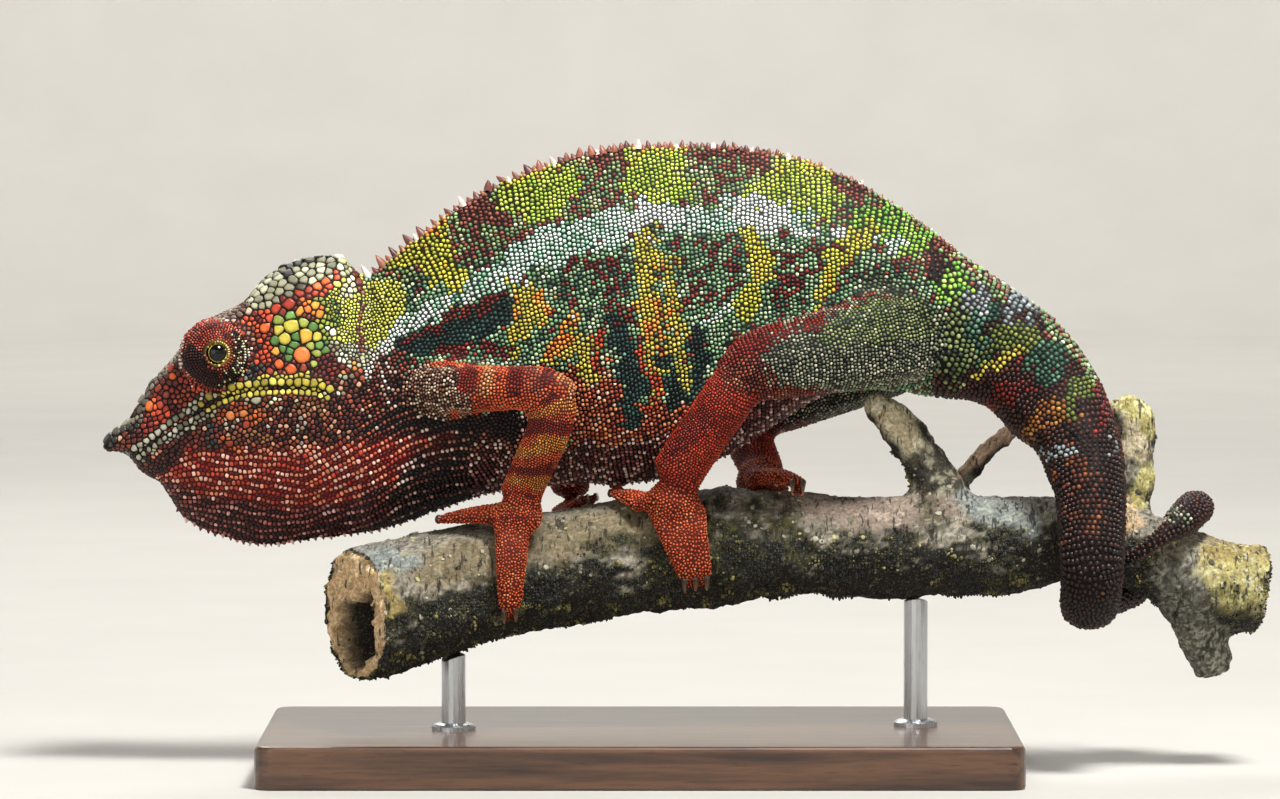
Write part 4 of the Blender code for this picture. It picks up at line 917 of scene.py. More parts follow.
# larger or smaller scales on the head: pitch, soft edge and stroke on the drawing of the flank
plateSizes = [
    (1.75, 1, [(-79.4, 100, 2.9), (-75.6, 102.5, 3.4), (-71, 103.7, 3.8), (-65.9, 105.4, 2.9),
        (-62.6, 106.7, 1.5)]),
    (0.95, 0.8, [(-92.4, 93.2, 1.3), (-87.1, 95.8, 1.5), (-83.2, 97.9, 1.3)]),
    (1.15, 0.8, [(-60.9, 105.4, 1.5), (-60.9, 100.8, 1.3)]),
    (1.9, 0.8, [(-76.4, 94.1, 1.7), (-73.1, 94.1, 2.5), (-70.1, 91.3, 2.9), (-74.5, 89.9, 2.5),
        (-71.4, 87.4, 1.9), (-67.2, 89.2, 1.1)]),
    (1.25, 0.6, [(-79.4, 96.2, 0.6), (-73.5, 97.9, 0.8), (-68.2, 101, 0.6), (-63.4, 104.6, 0.6)]),
    (0.62, 0.8, [(-64, 98.7, 2.1), (-61.9, 94.5, 2.9), (-56.7, 96.6, 3.4), (-60.9, 88.2, 2.1)]),
    (1.5, 0.8, [(-112.1, 69.3, 1.5), (-109.2, 71.8, 1.5), (-105, 77.7, 1.5), (-102.9, 81.5, 1.1)]),
    (1.25, 1, [(-100.8, 76.6, 2.5), (-98.3, 81.9, 1.7)]),
    (0.9, 0.8, [(-95.3, 89.9, 1.3), (-98.7, 85.7, 0.8)]),
]
# single plates of the temple, snout and jaw by their paint: place on the drawing and radius
lonePlates = {
    "plateOrange": "-78.8 92.8 1.1, -71 87.1 1.8, -75.8 85.3 1.2, -73.3 84.2 1.3, -69.7 96.8 0.8, "
        "-65.9 102.7 0.9, -67.8 101.6 0.8, -98.1 82.7 0.8, -91.8 80 0.8, -102.9 76.4 1.1",
    "plateRed": "-77.9 94.9 0.8, -77.7 83.8 0.8, -73.5 97.9 1.3, -69.5 100.8 0.8, -71.4 100 0.9, "
        "-76.4 97 1.1, -98.5 84.4 0.9, -101.2 80 0.9, -100.8 76.6 0.9, -82.7 72.5 0.8",
    "plateOlive": "-76 94.5 0.9, -70.6 93.9 0.9, -69.1 89 0.8, -67.8 87.4 0.9, -68.5 85.3 0.9",
    "plateYellow": "-76 92.4 0.9, -73.1 93.2 1.4, -74.5 90.5 1.2, -67.8 90.9 0.9",
    "plateGreen": "-68.5 93.2 0.9, -76.9 90.1 0.8, -72.7 89.2 0.9, -75 88.4 0.8, -65.9 88.2 0.8, "
        "-73.9 86.5 0.9",
    "plateAmber": "-70.1 91.3 1.3, -76.4 87.8 0.9, -71.4 96.4 0.9, -68.2 97.6 0.9, -67.2 95.8 0.9, "
        "-89.9 79.6 0.8",
    "plateBrown": "-70.6 84.4 0.9, -75 96.2 0.8, -99.5 78.8 0.8",
    "plateWhite": "-64.5 91.8 0.7",
    "snoutGrey": "-104.6 77.7 0.9, -105 75.6 0.9, -109.8 71 0.9, -108.4 72.7 0.9",
    "rostral": "-111.7 69.3 1.2",
    "jawOrange": "-86.1 74.3 0.9, -83.4 74.8 0.8, -86.3 68.5 0.8",
    "lipGrey": "-80.6 77.5 0.8",
}
lonePlates = [(*place, paint) for paint, text in lonePlates.items() for place in readPath(text)]


def pitchAt(points, owners):
    pitch = np.zeros(len(points))
    for index, name in enumerate(fleshNames):
        pitch[owners == index] = coatSizes["pitch"][name.replace("_left", "").replace("_right", "")]
    onHead = belongs(owners, ("head", "casque", "lower_jaw", "neck"))
    place, some = sideView(points)[onHead], pitch[onHead]
    for size, soft, stroke in plateSizes:
        some += (size - some) * brushCover(place, stroke, soft)
    for x, z, radius, _ in lonePlates:
        some[np.hypot(place[:, 0] - x, place[:, 1] - z) < 0.35 * radius] = 2.15 * radius
    pitch[onHead] = some
    return pitch


def onSkin(points):
    # the nearest place on the skin, its normal and its part
    found = [skinTree.find_nearest(point) for point in points]
    corners = faceCorners[[face for _, _, face, _ in found]]
    return (np.array([spot for spot, _, _, _ in found]), unit(skinNormals[corners].mean(axis=1)),
            skinOwners[corners[:, 0]])


def ringRows(axis, step, pitch, reach, rays):
    # rows of places round a middle line: rays strike the skin, and the hits are spread evenly
    path = evenly(smoothCurve(axis), step)
    ways = unit(np.gradient(path, axis=0))
    side = unit(np.cross(ways[0], (0.3, 1.0, 0.2)))
    out = []
    for row, (centre, way) in enumerate(zip(path, ways)):
        side = unit(side - way * (side @ way))
        up = np.cross(way, side)
        hits = [skinTree.ray_cast(centre, side * math.cos(turn) + up * math.sin(turn), reach)[0]
                for turn in turnsOf(rays)]
        owed = dice.random()
        for a, b in zip(hits, hits[1:] + hits[:1]):
            if a is None or b is None or (b - a).length > 3.0:  # the rays missed, or struck two folds
                continue
            a, b = np.array(a), np.array(b)
            gap = np.linalg.norm(b - a)
            wave = math.sin(b[0] * 0.61 + b[2] * 0.93 + 2 * math.sin(b[2] * 0.37 + row))
            local = pitch * (1.0 + 0.30 * wave)
            owed += gap / local
            while owed >= 1:
                owed -= 1
                out.append(b + (a - b) * min(1, owed * local / max(gap, 1e-6)))
    out = np.array(out)
    drift = np.column_stack([softNoise(out, 6.0, s) for s in (21, 22, 23)]) * 0.45
    return out + drift + dice.normal(0, 0.10 * pitch, out.shape)


def strike(u, v, side):
    # the place on the skin that shows at u, v on the drawing of the flank
    x, z, distance, middle = u, v, studio["cameraDistance"] / mm, studio["aimHeight"] / mm
    lean = math.tan(math.radians(studio["cameraDegrees"]))
    for _ in range(3):
        hit = skinTree.ray_cast((x, side * 45.0, z), (0, -side, 0), 60.0)[0]
        if hit is None:
            return None
        near = -abs(hit[1])
        scale = distance / (distance + near)
        x, z = u / scale, middle + (v - middle) / scale - lean * near
    return np.array(hit)


def strikeBoth(places):
    # the struck places on both flanks
    spots = [strike(x, z, side) for x, z in places for side in (-1, 1)]
    return [spot for spot in spots if spot is not None]


def sideRows(rowCurves, pitch):
    # rows drawn on the side view, every second one shifted by half a scale
    out = []
    for number, curve in enumerate(rowCurves):
        out += strikeBoth(evenly(np.array(curve), pitch) + (number % 2 * pitch / 2, 0))
    return np.array(out)


def thinOut(points, sizes, keepFirst=0, share=0.66):
    # drops the later one of two places that are too close
    tree = treeOf(points)
    keep = np.ones(len(points), bool)
    for i in range(len(points)):
        if not keep[i]:
            continue
        for _, j, gap in tree.find_range(points[i], share * sizes[i] * 1.3):
            if j > i and keep[j] and j >= keepFirst and gap < share * (sizes[i] + sizes[j]) / 2:
                keep[j] = False
    return keep


def scatter(mask, most, size=None, share=0.86):
    # random places on some faces of the skin, no two closer than their size allows
    found, mine, corners = np.zeros((0, 3)), np.zeros(0, int), faceCorners[mask]
    for _ in range(most):
        pick = corners[dice.integers(0, len(corners), 9000)]
        fresh = np.einsum("ij,ijk->ik", dice.dirichlet((1, 1, 1), len(pick)), skinPoints[pick])
        joined, owners = np.vstack([found, fresh]), np.concatenate([mine, skinOwners[pick[:, 0]]])
        sizes = np.full(len(joined), size) if size else pitchAt(joined, owners)
        keep = thinOut(joined, sizes, len(found), share)
        found, mine = joined[keep], owners[keep]
    return found


def spread(points, owners, kinds, times):
    # neighbours push each other apart until they lie evenly
    free = np.nonzero(np.isin(kinds, ("row", "granule")))[0]
    for _ in range(times):
        sizes, tree, moved = scaleSizes(points, owners, kinds), treeOf(points), points.copy()
        for i in free:
            for spot, j, gap in tree.find_n(points[i], 7):
                if j != i and gap < (sizes[i] + sizes[j]) / 2 and gap > 1e-4:
                    push = 0.30 * ((sizes[i] + sizes[j]) / 2 - gap) / gap
                    moved[i] += (points[i] - np.array(spot)) * push
        points, normals, owners = onSkin(moved)
    return points, normals, owners


def scaleMeshes(spots, normals, sizes, tints, shape, bulge, widest):
    # every scale's rim reaches half-way to its neighbours, so rims form the cracks of real hide
    sides, tree = shape["sides"], treeOf(spots)
    near = np.array([[j for _, j, _ in tree.find_n(p, 9)][1:] for p in spots])
    back = unit(np.cross(normals, np.cross(np.tile([1.0, 0.05, 0.02], (len(spots), 1)), normals)))
    side = np.cross(normals, back)
    ways = spots[near] - spots[:, None]
    flatX, flatY = np.einsum("ijk,ik->ij", ways, back), np.einsum("ijk,ik->ij", ways, side)
    gap = np.maximum(np.hypot(flatX, flatY), 1e-3)
    share = sizes[:, None] / (sizes[:, None] + sizes[near])
    turns = dice.uniform(0, 2 * math.pi, len(spots))[:, None] + turnsOf(sides)
    toward = (np.cos(turns)[:, :, None] * (flatX / gap)[:, None]
              + np.sin(turns)[:, :, None] * (flatY / gap)[:, None])
    limit = (gap * share)[:, None] / np.maximum(toward, 0.2)
    rim = np.minimum(limit.min(axis=2), (sizes * widest)[:, None]) - coatSizes["gap"]
    rim = np.maximum(rim, 0.12)
    width = rim.mean(axis=1)
    height = width * shape["rise"] * (0.95 / sizes.clip(0.8, 3)) ** 0.6
    height = height * (1 + 0.2 * dice.standard_normal(len(spots))).clip(0.6, 1.5) * bulge
    flat = 0.64 + 0.32 * np.clip(2 * width - 1.1, 0, 1)
    edge = 1 - np.minimum(0.32, coatSizes["bevel"] / width)
    levels = [(np.ones(len(spots)), np.full(len(spots), -coatSizes["root"])), (edge, height * flat)]
    if shape["plateau"]:
        levels.append((edge * shape["plateau"], height * (0.25 + 0.75 * flat)))
    rings = []
    for reach, level in levels:
        across = rim * reach[:, None]
        rings.append(spots[:, None] + back[:, None] * (np.cos(turns) * across)[:, :, None]
                     + side[:, None] * (np.sin(turns) * across)[:, :, None]
                     + (normals * level[:, None])[:, None])
    peak = spots + normals * height[:, None] + back * (width * shape["lean"])[:, None]
    points = np.concatenate([*rings, peak[:, None]], axis=1).reshape(-1, 3)
    one, last = [], (len(rings) - 1) * sides
    for k in range(sides):
        n = (k + 1) % sides
        for low in range(0, last, sides):
            one += [(low + k, low + n, low + sides + n), (low + k, low + sides + n, low + sides + k)]
        one.append((last + k, last + n, last + sides))
    per = last + sides + 1
    faces = (np.array(one)[None] + (np.arange(len(spots)) * per)[:, None, None]).reshape(-1, 3)
    # each scale's base ring is darkened as painted shade between the domes, and its tip lightened as a
    # painted highlight
    shade = np.append(np.repeat([shape["rimPaintedShade"], 0.84, 1.0][:len(rings)], sides), shape["tipPaintedHighlight"])
    colours = (tints[:, None] * shade[None, :, None]).reshape(-1, 3)
    circle = np.column_stack([np.cos(turns[0]), np.sin(turns[0])])
    local = np.vstack([circle * reach for reach in (1.0, 0.7, 0.4)[:len(rings)]] + [[[0, 0]]])
    return points, faces, colours.clip(0, 1), local


# each shape darkens a scale's base ring (painted shade) and lightens its tip (painted highlight)
coatShapes = {
    "body": {"sides": 7, "widest": 0.64, "rise": 0.76, "lean": 0.12, "rimPaintedShade": 0.13, "tipPaintedHighlight": 1.5,
             "plateau": 0},
    "head": {"sides": 10, "widest": 0.80, "rise": 0.40, "lean": 0.04, "rimPaintedShade": 0.08, "tipPaintedHighlight": 1.12,
             "plateau": 0.6},
    "fine": {"sides": 6, "widest": 0.64, "rise": 0.55, "lean": 0.12, "rimPaintedShade": 0.58, "tipPaintedHighlight": 1.24,
             "plateau": 0},
    "grain": {"sides": 6, "widest": 0.60, "rise": 0.85, "lean": 0.0, "rimPaintedShade": 0.12, "tipPaintedHighlight": 1.4,
              "plateau": 0},
}
coatPieces = {  # shape of the scales, whether each flank has a piece of its own, and the parts covered
    "scales_head": ("head", True, fleshGroups["head"]),
    "scales_turrets": ("grain", False, fleshGroups["turret"]),
    "scales_neck": ("body", False, ["neck"]), "scales_trunk": ("body", True, ["trunk"]),
    "scales_tail": ("body", False, fleshGroups["tail"]),
    "scales_arms": ("fine", False, fleshGroups["limb"][:4]),
    "scales_legs": ("fine", False, fleshGroups["limb"][4:]),
    "scales_feet": ("fine", False, fleshGroups["foot"]),
}


# the throat's beads: top and bottom lines of their rows on the flank, number of rows, gap between beads
throatShape = {
    "top": [(-104, 60.5), (-98, 64), (-92.4, 66.5), (-80, 65.5), (-71, 64.5), (-61, 70),
            (-50, 77), (-42, 79.5), (-36, 79.5)],
    "bottom": [(-104, 57), (-98, 50.5), (-90, 46), (-80, 43), (-68, 44), (-57, 46.5),
               (-48, 50.5), (-36, 54)],
    "rows": 16, "pitch": 1, "bareAbove": 0.9,
}
# labial scales: rows above and below the mouth line
lipShape = {
    "mouthLine": [(-107, 65.7), (-102.9, 68.4), (-96.6, 73.1), (-92.4, 75.4), (-88.2, 78), (-81.9, 79.7),
                  (-75.6, 80.2), (-69.3, 80), (-65.5, 78.9)],
    "above": 1.3, "aboveSmall": 1, "below": 0.84, "greyUpTo": -91, "smallUpTo": -91.5, "small": 1.5,
}
# granules of the eye turrets: size of the turret, then gaps between the rings and along them
turretShape = {"reach": 8.4, "radius": 8.6, "step": 0.62, "gap": 0.68, "rimGap": 0.56, "rimUpTo": 3.0}
kindSizes = {"bead": 0.92, "granule": 0.80, "lipUpper": 1.75, "lipLower": 1.35}
# rows round a part: gap between them, pitch along them, reach and number of the rays
rowSizes = {"trunk": (0.90, 0.92, 60.0, 190), "tail": (1.08, 1.06, 20.0, 100), "limb": (12.0, 80)}


def scaleSizes(places, owners, kinds):
    sizes = pitchAt(places, owners)
    for kind, size in kindSizes.items():
        sizes[kinds == kind] = size
    sizes[(kinds == "lipUpper") & (places[:, 0] < lipShape["smallUpTo"])] = lipShape["small"]
    return sizes


def skinGaps(places):
    # how far each point of the skin is from the nearest scale, against the size that scales have there
    tree = treeOf(places)
    gaps = np.array([tree.find(p)[2] for p in skinPoints])
    return gaps / pitchAt(skinPoints, skinOwners) * ~onThroat(skinPoints, skinOwners)


def placeScales():
    # rows where the hide shows rows, then scattered scales on the head, feet and every bare spot
    found = []

    def take(points, names, kind="row"):
        spots, _, mine = onSkin(points)
        keep = belongs(mine, names) & ((kind != "row") | ~onThroat(spots, mine))
        found.append((spots[keep], mine[keep], np.full(keep.sum(), kind, dtype="U8")))

    front = fleshGroups["head"] + fleshGroups["trunk"]
    take(np.array(strikeBoth([(x, z) for x, z, _, _ in lonePlates])), front, "plate")
    take(turretRows(), fleshGroups["turret"], "ring")
    upper, lower = lipRows()
    take(upper, front, "lipUpper")
    take(lower, front, "lipLower")
    take(throatRows(), front, "bead")
    take(ringRows(trunkAxis, *rowSizes["trunk"]), fleshGroups["trunk"])
    take(ringRows(tailAxis, *rowSizes["tail"]), fleshGroups["tail"])
    for name, axis in limbAxes.items():
        pitch = coatSizes["pitch"][name.rsplit("_", 1)[0]]
        take(ringRows(axis, pitch * 0.94, pitch, *rowSizes["limb"]), [name])
    faceOwners = skinOwners[faceCorners[:, 0]]
    faceThroat = onThroat(skinPoints[faceCorners].mean(axis=1), faceOwners)
    take(scatter(belongs(faceOwners, fleshGroups["head"] + fleshGroups["foot"]) & ~faceThroat, 7), fleshNames)
    take(scatter(faceThroat, 4, kindSizes["granule"]), front, "granule")
    places, owners, kinds = (np.concatenate(rows) for rows in zip(*found))
    keep = thinOut(places, scaleSizes(places, owners, kinds))
    places, owners, kinds = places[keep], owners[keep], kinds[keep]
    for _ in range(3):
        # bare spots: skin points with no scale near
        bare = dice.permutation(np.nonzero(skinGaps(places) > 0.80)[0])
        if not len(bare):
            break
        joined, mine = np.vstack([places, skinPoints[bare]]), np.concatenate([owners, skinOwners[bare]])
        kind = np.concatenate([kinds, np.full(len(bare), "row", dtype="U8")])
        keep = thinOut(joined, scaleSizes(joined, mine, kind), len(places), 0.84)
        places, owners, kinds = joined[keep], mine[keep], kind[keep]
    places, normals, owners = spread(places, owners, kinds, 3)
    keep = thinOut(places, scaleSizes(places, owners, kinds), 0, 0.5)
    widest = round(float(skinGaps(places[keep]).max()), 2)
    print("scales placed:", keep.sum(), "widest bare spot:", widest, "scales")
    return places[keep], normals[keep], owners[keep], kinds[keep]


def throatEdges(along):
    return [np.interp(along, *np.array(throatShape[key]).T) for key in ("top", "bottom")]


def throatRows():
    # rows of beads that follow the jaw and the throat's lower edge
    out, along = [], np.linspace(throatShape["top"][0][0], throatShape["top"][-1][0], 60)
    high, low = throatEdges(along)
    for share in np.linspace(0, 1, throatShape["rows"]):
        wave = 0.3 * np.sin(along * 0.31 + share * 5) + 0.2 * np.sin(along * 0.83 + share * 31)
        out.append(np.column_stack([along, high + (low - high) * share + wave]))
    return sideRows(out, throatShape["pitch"])


def onThroat(points, owners):
    # the pleated throat, where bare skin shows between the rows
    place = sideView(points)
    span = (place[:, 0] > throatShape["top"][0][0]) & (place[:, 0] < throatShape["top"][-1][0])
    mine = belongs(owners, fleshGroups["head"] + fleshGroups["trunk"])
    return mine & span & (place[:, 1] < throatEdges(place[:, 0])[0] + throatShape["bareAbove"])


def lipRows():
    line = evenly(smoothCurve(lipShape["mouthLine"]), 0.5)
    way = unit(np.gradient(line, axis=0))
    side = np.column_stack([-way[:, 1], way[:, 0]])
    front = line[:, 0] < lipShape["smallUpTo"]
    upper = [sideRows([(line + side * lipShape[high])[mine]], size) for mine, high, size in (
        (front, "aboveSmall", lipShape["small"]), (~front, "above", kindSizes["lipUpper"]))]
    return np.vstack(upper), sideRows([line - side * lipShape["below"]], kindSizes["lipLower"])


def turretRows():
    # rings of granules round each pupil
    out = []
    for side in (-1, 1):
        middle, gaze, across, up = eyeFrame(side)
        radius = eyeSizes["rimRadius"]
        while radius < turretShape["reach"]:
            lean = math.asin(min(radius / turretShape["radius"], 0.98))
            gap = turretShape["gap" if radius > turretShape["rimUpTo"] else "rimGap"]
            count = int(2 * math.pi * radius / gap)
            for turn in (np.arange(count) + dice.uniform(0, 1)) * 2 * math.pi / count:
                aim = gaze * math.cos(lean) + (across * math.cos(turn) + up * math.sin(turn)) * math.sin(lean)
                hit = skinTree.ray_cast(middle, aim, 14.0)[0]
                out += [] if hit is None else [hit]
            radius += turretShape["step"]
    return np.array(out)


# hide and scales: dry keratin, a soft sheen on each scale and fine wrinkles between them

def makeHide(name, roughness, grain, depth, sheen):
    material, tree, shader, place, _, fine, colour = tintedMaterial(
        name, grain, 0.25, 0.75, 0.82, 1.16, 2.0, Specular_IOR_Level=sheen)
    worn = addNode(tree, "ShaderNodeTexNoise", {"Vector": place, "Scale": 1 / (9.0 * mm), "Detail": 3.0,
                                                "Roughness": 0.55})
    wear = addNode(tree, "ShaderNodeMapRange", {"Value": worn, 1: 0.35, 2: 0.7, 3: 0.0, 4: 0.35})
    dusty = addNode(tree, "ShaderNodeMix", {0: 1.0, 6: colour, 7: colourOf("B8A898")}, 2,
                    data_type="RGBA", blend_type="MULTIPLY")
    setInputs(tree, shader, {
        "Base Color": addNode(tree, "ShaderNodeMix", {0: wear, 6: colour, 7: dusty}, 2, data_type="RGBA"),
        "Roughness": addNode(tree, "ShaderNodeMapRange", {"Value": fine, 1: 0.3, 2: 0.7, 3: roughness - 0.07,
                                                          4: roughness + 0.09}),
        "Normal": addNode(tree, "ShaderNodeBump", {"Height": fine, "Strength": 0.7, "Distance": depth * mm})})
    return material


def bakeMap(mesh, roots, local):
    # each scale's patch at its root's place on the skin's own unwrap
    corner = np.zeros(len(mesh.loops), int)
    mesh.loops.foreach_get("vertex_index", corner)
    places = roots[corner // len(local)] + local[corner % len(local)] * 0.0015
    mesh.uv_layers.new(name="OFBake").data.foreach_set("uv", places.clip(0, 1).astype(np.float32).ravel())


def unwrapSkin(skin):
    # gives the place of each face on the map
    bpy.context.view_layer.objects.active = skin
    skin.select_set(True)
    bpy.ops.object.mode_set(mode="EDIT")
    bpy.ops.mesh.select_all(action="SELECT")
    bpy.ops.uv.smart_project(angle_limit=math.radians(72), island_margin=0.003)
    bpy.ops.object.mode_set(mode="OBJECT")
    skin.select_set(False)
    skin.data.uv_layers.active.name = "OFBake"
    loops, starts = np.zeros(len(skin.data.loops) * 2), np.zeros(len(skin.data.polygons), int)
    skin.data.uv_layers["OFBake"].data.foreach_get("uv", loops)
    skin.data.polygons.foreach_get("loop_start", starts)
    return loops.reshape(-1, 2)[starts]


def tintPlates(places, kinds, tints):
    # the lips and each single plate take their own paint
    for i in np.nonzero(np.char.startswith(kinds, "lip"))[0]:
        grey = places[i, 0] + dice.normal(0, 1.2) < lipShape["greyUpTo"]
        codes = paints["lipGrey" if grey else "lipOlive"][1]
        tints[i] = codes[dice.integers(0, len(codes))] * dice.uniform(0.8, 1.15)
    spots = np.array([(x, z) for x, z, _, _ in lonePlates])
    for i in np.nonzero(kinds == "plate")[0]:
        near = np.linalg.norm(spots - sideView(places[i:i + 1]), axis=1).argmin()
        codes = paints[lonePlates[near][3]][1]
        tints[i] = codes[dice.integers(0, len(codes))] * dice.uniform(0.88, 1.1)


def dressAnimal():
    hide = makeHide("wrinkledHide", 0.6, 0.45, 0.12, 0.15)
    bead = makeHide("keratinScale", 0.38, 0.30, 0.03, 0.34)
    tints = paintAt(skinPoints, skinOwners, False, 3)
    skin = makePiece("skin", skinPoints, skinFaces, hide, relax(tints, skinEdges, 0.5, 2))
    faceMaps = unwrapSkin(skin)
    keepWith(skin, "hide_green", *fleshNames)
    print("skin unwrapped")
    places, normals, owners, kinds = placeScales()
    sizes = scaleSizes(places, owners, kinds)
    tints = paintAt(places, owners, True, 4)
    tintPlates(places, kinds, tints)
    granule = kinds == "granule"
    tints[granule] = paintAt(places[granule], owners[granule], False, 5)
    tints[granule] *= dice.uniform(0.9, 1.9, (granule.sum(), 1))
    # the snout's single plates stand high
    bulge = np.where((kinds == "plate") & (places[:, 0] < -99), 1.5, 1.0)
    total = 0
    for name, (shapeName, split, parts) in coatPieces.items():
        mine, left, shape = belongs(owners, parts), places[:, 1] < 0, coatShapes[shapeName]
        widest = np.where(np.char.startswith(kinds, "lip"), 0.70, shape["widest"])
        halves = [("_left", mine & left), ("_right", mine & ~left)] if split else [("", mine)]
        for side, some in halves:
            label = name + side
            points, faces, colours, local = scaleMeshes(places[some], normals[some], sizes[some], tints[some],
                                                        shape, bulge[some], widest[some])
            piece = makePiece(label, points, faces, bead, colours)
            bakeMap(piece.data, faceMaps[[skinTree.find_nearest(p)[2] for p in places[some]]], local)
            keepWith(piece, "hide_green")
            total += len(faces)
            print(label, int(some.sum()), "scales,", len(faces), "triangles")
    print("coat ready:", total, "triangles")


dressAnimal()


# what grows out of the hide: spines along the back, claws, and the eyes

def scatterTree():
    # stamps one small mesh on every point, turned to its aim, sized by the point and by chance
    tree = bpy.data.node_groups.new("stampOnPoints", "GeometryNodeTree")
    sockets = {}
    for name, kind in (("Geometry", "Geometry"), ("Stamp", "Object"), ("Size Variation", "Float"),
                       ("Seed", "Int"), ("Finish", "Material")):
        socket = tree.interface.new_socket(name, in_out="INPUT", socket_type="NodeSocket" + kind)
        sockets[name] = socket.identifier
    tree.interface.new_socket("Geometry", in_out="OUTPUT", socket_type="NodeSocketGeometry")
    given = tree.nodes.new("NodeGroupInput").outputs
    aim, tall = (addNode(tree, "GeometryNodeInputNamedAttribute", {"Name": name}, "Attribute",
                         data_type="FLOAT_VECTOR") for name in ("aim", "tall"))
    turn = addNode(tree, "FunctionNodeAlignRotationToVector", {"Vector": aim}, axis="Z")
    low, high = (addNode(tree, "ShaderNodeMath", {0: 1.0, 1: given["Size Variation"]}, operation=way)
                 for way in ("SUBTRACT", "ADD"))
    chance = addNode(tree, "FunctionNodeRandomValue", {"Seed": given["Seed"], 2: low, 3: high}, 1,
                     data_type="FLOAT")
    scale = addNode(tree, "ShaderNodeVectorMath", {0: tall, "Scale": chance}, operation="SCALE")
    stamp = addNode(tree, "GeometryNodeObjectInfo", {"Object": given["Stamp"]}, "Geometry")
    placed = addNode(tree, "GeometryNodeInstanceOnPoints", {"Points": given["Geometry"], "Instance": stamp,
                                                            "Rotation": turn, "Scale": scale})
    spin = addNode(tree, "FunctionNodeRandomValue", {"Seed": given["Seed"], 0: (0, 0, 0), 1: (0, 0, 6.283)},
                   data_type="FLOAT_VECTOR")
    turned = addNode(tree, "GeometryNodeRotateInstances",
                     {"Instances": placed, "Rotation": spin, "Local Space": True})
    solid = addNode(tree, "GeometryNodeRealizeInstances", {"Geometry": turned})
    done = addNode(tree, "GeometryNodeSetMaterial", {"Geometry": solid, "Material": given["Finish"]})
    addNode(tree, "NodeGroupOutput", {"Geometry": done})
    return tree, sockets


stampTree, stampSockets = scatterTree()


def stampShape(name, rings, sides, wobble=0.0):
    # a small turned form, from (radius, height) rings up to its tip, in millimetres
    points = []
    for radius, height in rings:
        for k, turn in enumerate(turnsOf(sides)):
            reach = radius * (1 + wobble * math.sin(3.1 * k + height))
            points.append((reach * math.cos(turn), reach * math.sin(turn), height))
    faces = ringFaces(len(rings), sides) + [tuple(range((len(rings) - 1) * sides, len(rings) * sides))]
    return newObject(name, newMesh(name, points, faces))


def stampOn(name, places, stamp, material, variation, seed, slot):
    # a plain mesh of stamps; each place has a point, an aim, a size on three axes and a colour
    points, aims, sizes, tints = (np.array(values, float) for values in places)
    mesh = newMesh(name, points, [])
    for label, values in (("aim", unit(aims)), ("tall", sizes)):
        layer = mesh.attributes.new(label, "FLOAT_VECTOR", "POINT")
        layer.data.foreach_set("vector", values.astype(np.float32).ravel())
    giveTints(mesh, tints)
    piece = newObject(name, mesh)
    modifier = piece.modifiers.new("stamps", "NODES")
    modifier.node_group = stampTree
    given = {"Stamp": stamp, "Size Variation": variation, "Seed": seed, "Finish": material}
    for label, value in given.items():
        modifier[stampSockets[label]] = value
    result = bpy.data.meshes.new_from_object(piece.evaluated_get(bpy.context.evaluated_depsgraph_get()))
    piece.modifiers.clear()
    piece.data = result
    result.shade_smooth()
    for label in {"aim", "tall"} & set(result.attributes.keys()):
        result.attributes.remove(result.attributes[label])
    bpy.data.objects.remove(stamp)
    keepWith(piece, slot)


crestSizes = {
    "start": -57.0, "stop": 62.0, "tallFront": 2.1, "tallBack": 0.6, "spacing": 1.25, "sunk": 0.5,
    "ceiling": 132.4, "neckSpines": 8, "paleEvery": 7, "pale": ["D8C8BC", "C8B4A6"],
    "dark": ["6A3830", "7A4638", "542822", "8E5440"],
}


def makeCrest(horn):
    # cones along the back: a tall one and a low one in turn, smaller towards the hips
    places, number, x = [], 0, crestSizes["start"]
    while x < crestSizes["stop"]:
        hit = skinTree.ray_cast((x, 0.0, 150.0), (0, 0, -1), 120.0)
        share = (x - crestSizes["start"]) / (crestSizes["stop"] - crestSizes["start"])
        tall = crestSizes["tallFront"] + (crestSizes["tallBack"] - crestSizes["tallFront"]) * share
        tall *= (1.0, 0.55)[number % 2] * dice.uniform(0.85, 1.15)
        tall *= 1.15 if number < crestSizes["neckSpines"] else 1.0
        tall = min(tall, max(0.3, crestSizes["ceiling"] - hit[0][2]))
        normal = np.array(hit[1]) * (1, 0, 1)
        aim = unit(normal + np.array([-0.18, dice.uniform(-0.12, 0.12), 0.1]))
        code = dice.choice(crestSizes["pale" if number % crestSizes["paleEvery"] == 0 else "dark"])
        girth = (0.62 + 0.20 * tall, 0.52 + 0.12 * tall, tall + crestSizes["sunk"])
        places.append((np.array(hit[0]) - unit(normal) * crestSizes["sunk"], aim, girth,
                       linearColour(str(code))))
        x += crestSizes["spacing"] * (1.15 - 0.35 * share) * dice.uniform(0.85, 1.15)
        number += 1
    stamp = stampShape("spineStamp", [(1.0, 0.0), (0.88, 0.3), (0.62, 0.6), (0.30, 0.86), (0.06, 1.0)], 9)
    stampOn("back_crest", zip(*places), stamp, horn, 0.05, 3, "hide_red")


bellySizes = {"start": -97.0, "stop": 30.0, "spacing": 1.5, "sunk": 0.3, "throatUpTo": -50, "throatTall": 0.8,
              "tall": 0.7, "colours": ["7A2E28", "5A211D", "B9837A", "D9B7AE"]}


